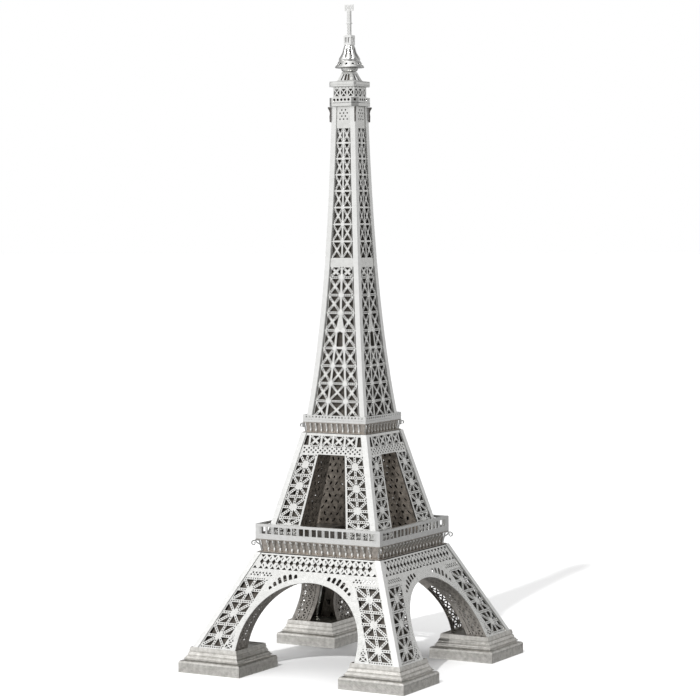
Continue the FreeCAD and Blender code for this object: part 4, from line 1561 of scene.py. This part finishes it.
def domeMesh():
    # eight swelling petals with a slit between each pair, which is widest at mid height
    c = cupola
    low, high = c["ringTop"] + clearance, c["domeTop"]
    rows, columns = 14, 10
    skirt, slitFrom, slitSpan = 0.16, 0.12, 0.8
    slitWidth, slitRadius, bulge = 0.11, 4.1, 0.09

    def radiusAt(share):
        fall = max(0.0, (share - skirt) / (1 - skirt))
        wave = 0.12 * math.sin(share * 9)
        return between(c["ringNarrow"] - 0.3, c["domeNarrow"] + 0.1, fall ** 0.9) + wave

    def slitAt(share):
        if share <= slitFrom:
            return 0
        swell = math.sin(math.pi * min(1, (share - slitFrom) / slitSpan))
        return slitWidth * swell * slitRadius / radiusAt(share)

    def point(petal, share, u, depth):
        angle = (petal + 0.5 + u * 0.5 * (1 - slitAt(share) * 2)) * 2 * math.pi / c["petals"]
        r = radiusAt(share) * (1 - bulge * u * u) - depth
        return Vector((r * math.cos(angle), r * math.sin(angle), between(low, high, share))) * mm

    def build(shape):
        for petal in range(c["petals"]):
            for depth in (0, gauge):
                grid = [
                    [
                        shape.verts.new(point(petal, row / rows, column / columns * 2 - 1, depth))
                        for column in range(columns + 1)
                    ]
                    for row in range(rows + 1)
                ]
                for lower, upper in zip(grid, grid[1:]):
                    for i in range(columns):
                        shape.faces.new([lower[i], lower[i + 1], upper[i + 1], upper[i]])

    return meshOf(build)


def makeDrum():
    # the drum's walls, and cores in painted shade inside the drum and the dome
    c = cupola
    drum = [(axis, c["drumFoot"]), (c["drumWide"] - 0.9, c["drumFoot"]),
            (c["drumNarrow"] - 0.5, c["drumTop"]), (axis, c["drumTop"])]
    low, high = c["ringTop"] + 0.1, c["domeTop"] - 0.2
    dome = [(axis, low), (c["ringNarrow"] - 1.0, low), (c["domeNarrow"] - 0.5, high), (axis, high)]
    addPiece("cupolaShadeCore", joinMeshes([roundLathe(drum, 16), roundLathe(dome, 16)]),
             ("darkPaintedShade",), [])
    addPiece("cupolaArches", joinMeshes(drumWalls()), ("brightSteel", "innerPaintedShade"),
             ["cupola_arches"])


def makeCollar():
    c = cupola
    low, top, narrow = c["drumTop"] + clearance, c["collarTop"], c["drumNarrow"]
    outside = [(axis, low), (narrow, low), (narrow + 0.45, low + 0.12), (narrow + 0.8, low + 0.4),
               (narrow + 1.0, low + 0.85), (narrow + 1.05, top - 0.1), (narrow + 0.95, top)]
    inside = [(narrow + 0.8, top), (narrow + 0.7, low + 0.75), (narrow - 0.3, low + gauge),
              (axis, low + gauge)]
    addPiece("cupolaCollar", roundLathe(outside + inside), ("brightSteel",),
             ["cupola_collar"], smooth=True)


def makeRing():
    c = cupola
    foot, top = c["collarTop"] + clearance, c["ringTop"]
    wide, slim = c["ringWide"], c["ringNarrow"]
    low, high, radius = foot + 0.25, top - 0.1, c["portholeRadius"]
    cone = coneWithPortholes(wide, low, slim, high, c["portholes"], radius, gauge)
    bands = [
        roundLathe(section(wide - 0.45, wide, foot, low)),
        roundLathe(section(axis, slim + 0.02, high, top)),
        roundLathe(section(1.9, wide - 0.4, foot + 0.02, foot + 0.2)),
    ]
    bezels = portholeBezels(wide, low, slim, high, c["portholes"], radius)
    addPiece("cupolaRing", joinMeshes([cone] + bands + bezels), ("brightSteel",),
             ["cupola_ring"])


def mastSpan(low, high, reach, cells=4, land=0.15):
    loops = [rectangle(-reach, low, reach, high)]
    for step in range(cells):
        a, b = [between(low + land, high - land, end / cells) for end in (step, step + 1)]
        loops += bracedCell(*rectangle(-reach, a, reach, b), cupola["mastBar"])
    return fourWalls(loops, reach, 0.15)


def crosshead():
    c = cupola
    half, base, top = c["crossHalf"], c["crossBase"], c["crossTop"]
    land, thickness = 0.15, 0.3
    loops = [rectangle(-half, base, half, top)]
    for left, right in ((land - half, 0), (0, half - land)):
        loops += bracedCell(*rectangle(left, base + land, right, top - land), 0.32)

    def put(x, z, depth):
        return x, depth - thickness / 2, z

    return layOn(flatMesh(loops), put, thickness)


def makeMast():
    c = cupola
    base, top, half = c["domeTop"] + clearance, c["lanternTop"], c["lanternHalf"]
    windows = mirrored([rectangle(0.25, base + 0.9, 1.0, top - 0.8)])
    pieces = [
        fourWalls([rectangle(-half, base, half, top)] + windows, half, 0.2),
        squareLathe(section(axis, half - 0.02, top - 0.15, top)),
        squareLathe(section(axis, half - 0.02, base, base + 0.15)),
        squareLathe(section(0.3, 0.85, c["ledge"] - 0.3, c["ledge"] + 0.1)),
        crosshead(),
        mastSpan(top, c["ledge"], 0.6),
        mastSpan(c["ledge"], c["crossBase"], 0.62),
    ]
    addPiece("lanternMast", joinMeshes(pieces), ("angleSteel", "innerPaintedShade"),
             ["lantern_mast"])


def makeCupola():
    makeDrum()
    makeCollar()
    makeRing()
    addPiece("cupolaDome", domeMesh(), ("brightSteel",), ["cupola_dome"], smooth=True)
    makeMast()


makeCupola()
print("cupola and mast ready")

# CAD nodes that keep their own shape

keptFinish = {
    "leg_angle": "angleSteel",
    "middle_angle": "angleSteel",
    "spire_angle": "angleSteel",
    # the linings are coloured in painted shade
    "leg_linings": "darkPaintedShade",
    "spire_lining": "darkPaintedShade",
    # the cornices are coloured in painted shade
    "gallery_cornice": "cornicePaintedShade",
    "upper_cornice": "cornicePaintedShade",
    # the decks are coloured in painted shade
    "gallery_deck": "dimPaintedShade",
    "upper_gallery_deck": "dimPaintedShade",
}


def finishKeptNodes():
    for stem, finishName in keptFinish.items():
        for name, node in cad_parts.items():
            if name.startswith(stem):
                node.data.materials.clear()
                node.data.materials.append(finishes[finishName])


finishKeptNodes()
print("kept nodes ready")

# Floor, light and camera

studio = {
    "floorTone": 0.9,
    "keyPlace": (-0.75, -1.15, 0.72),
    "keySize": (1.1, 1.7),
    "keyPower": 1.9,
    "topPlace": (0.1, -0.2, 1.3),
    "topSize": (1.3, 1.3),
    "topPower": 3.6,
    "sunTilt": (50.5, 0.0, 6.1),
    "sunPower": 2.2,
    "sunSpread": 1.6,
    "rimPlace": (0.75, 1.1, 0.5),
    "rimSize": (0.7, 1.1),
    "rimPower": 0.9,
    "worldFloor": 0.8,      # what lights the floor and every dull surface
    "brightSide": (-0.5, -0.85, 0.12),
    "brightGloss": 0.62,    # what the steel mirrors on that side
    "worldGloss": 0.27,     # and on every other side
    "glossFrom": 0.1,
    "glossTo": 0.75,
    "floorHalf": 12.0,
    "sensor": 36,
    "cameraPlace": (0.4303, -0.7397, 0.1597),
    "cameraYaw": 30.23,
    "cameraPitch": -2.97,
    "cameraRoll": 0.446,
    "cameraLens": 120.3,
    "aim": (0, 0, 0.1),
}


def makeLight(name, place, size, power):
    lamp = bpy.data.lights.new(name, "AREA")
    lamp.shape = "RECTANGLE"
    lamp.size, lamp.size_y = size
    lamp.energy = power
    holder = bpy.data.objects.new(name, lamp)
    holder.location = place
    away = Vector(studio["aim"]) - Vector(place)
    holder.rotation_euler = away.to_track_quat("-Z", "Y").to_euler()
    bpy.context.scene.collection.objects.link(holder)


def makeSun():
    lamp = bpy.data.lights.new("sun", "SUN")
    lamp.energy = studio["sunPower"]
    lamp.angle = math.radians(studio["sunSpread"])
    holder = bpy.data.objects.new("sun", lamp)
    holder.rotation_euler = [math.radians(turn) for turn in studio["sunTilt"]]
    bpy.context.scene.collection.objects.link(holder)


def makeWorld():
    # white for the camera, one tone for dull surfaces, brighter to one side in the steel's mirror
    world = bpy.data.worlds.new("studio")
    bpy.context.scene.world = world
    world.use_nodes = True
    nodes = Nodes(world.node_tree)
    look = nodes.add("ShaderNodeTexCoord", output="Generated")
    toward = nodes.add("ShaderNodeVectorMath", {"operation": "DOT_PRODUCT"},
                       {0: look, 1: Vector(studio["brightSide"]).normalized()}, "Value")
    ramp = nodes.add(
        "ShaderNodeMapRange",
        {"interpolation_type": "SMOOTHSTEP"},
        {"Value": toward, "From Min": studio["glossFrom"], "From Max": studio["glossTo"],
         "To Min": studio["worldGloss"], "To Max": studio["brightGloss"]},
    )
    tone = studio["worldFloor"]
    last = nodes.add("ShaderNodeBackground", {}, {"Color": (tone, tone, tone, 1)})
    for ray, colour in (("Is Glossy Ray", ramp), ("Is Camera Ray", (1, 1, 1, 1))):
        path = nodes.add("ShaderNodeLightPath", output=ray)
        shade = nodes.add("ShaderNodeBackground", {}, {"Color": colour})
        last = nodes.add("ShaderNodeMixShader", {}, {0: path, 1: last, 2: shade})
    nodes.feed(world.node_tree.nodes["World Output"].inputs["Surface"], last)


def makeFloor():
    half = studio["floorHalf"]

    def build(shape):
        ring = rectangle(-half, -half, half, half)
        shape.faces.new([shape.verts.new((x, y, 0)) for x, y in ring])

    mesh = meshOf(build)
    floor = bpy.data.objects.new("floor", mesh)
    bpy.context.scene.collection.objects.link(floor)
    tone = studio["floorTone"]
    paper = Finish("floorPaper", Base_Color=(tone, tone, tone, 1), Roughness=0.9)
    mesh.materials.append(paper.material)
    floor.visible_glossy = False        # the steel mirrors the world there, not white paper


def makeCamera():
    lens = bpy.data.cameras.new("camera")
    lens.sensor_width = studio["sensor"]
    lens.lens = studio["cameraLens"]
    lens.clip_start = 0.01
    holder = bpy.data.objects.new("camera", lens)
    bpy.context.scene.collection.objects.link(holder)
    yaw = Matrix.Rotation(math.radians(studio["cameraYaw"]), 4, "Z")
    pitch = Matrix.Rotation(math.radians(studio["cameraPitch"]), 4, "X")
    roll = Matrix.Rotation(math.radians(studio["cameraRoll"]), 4, "Y")
    stand = Matrix.Rotation(math.radians(90), 4, "X")
    holder.matrix_world = Matrix.Translation(studio["cameraPlace"]) @ yaw @ pitch @ roll @ stand
    bpy.context.scene.camera = holder


for lamp in ("key", "rim", "top"):
    makeLight(lamp, *[studio[lamp + fact] for fact in ("Place", "Size", "Power")])
makeSun()
makeWorld()
makeFloor()
makeCamera()
bpy.context.scene.view_settings.view_transform = "Standard"
print("studio ready")
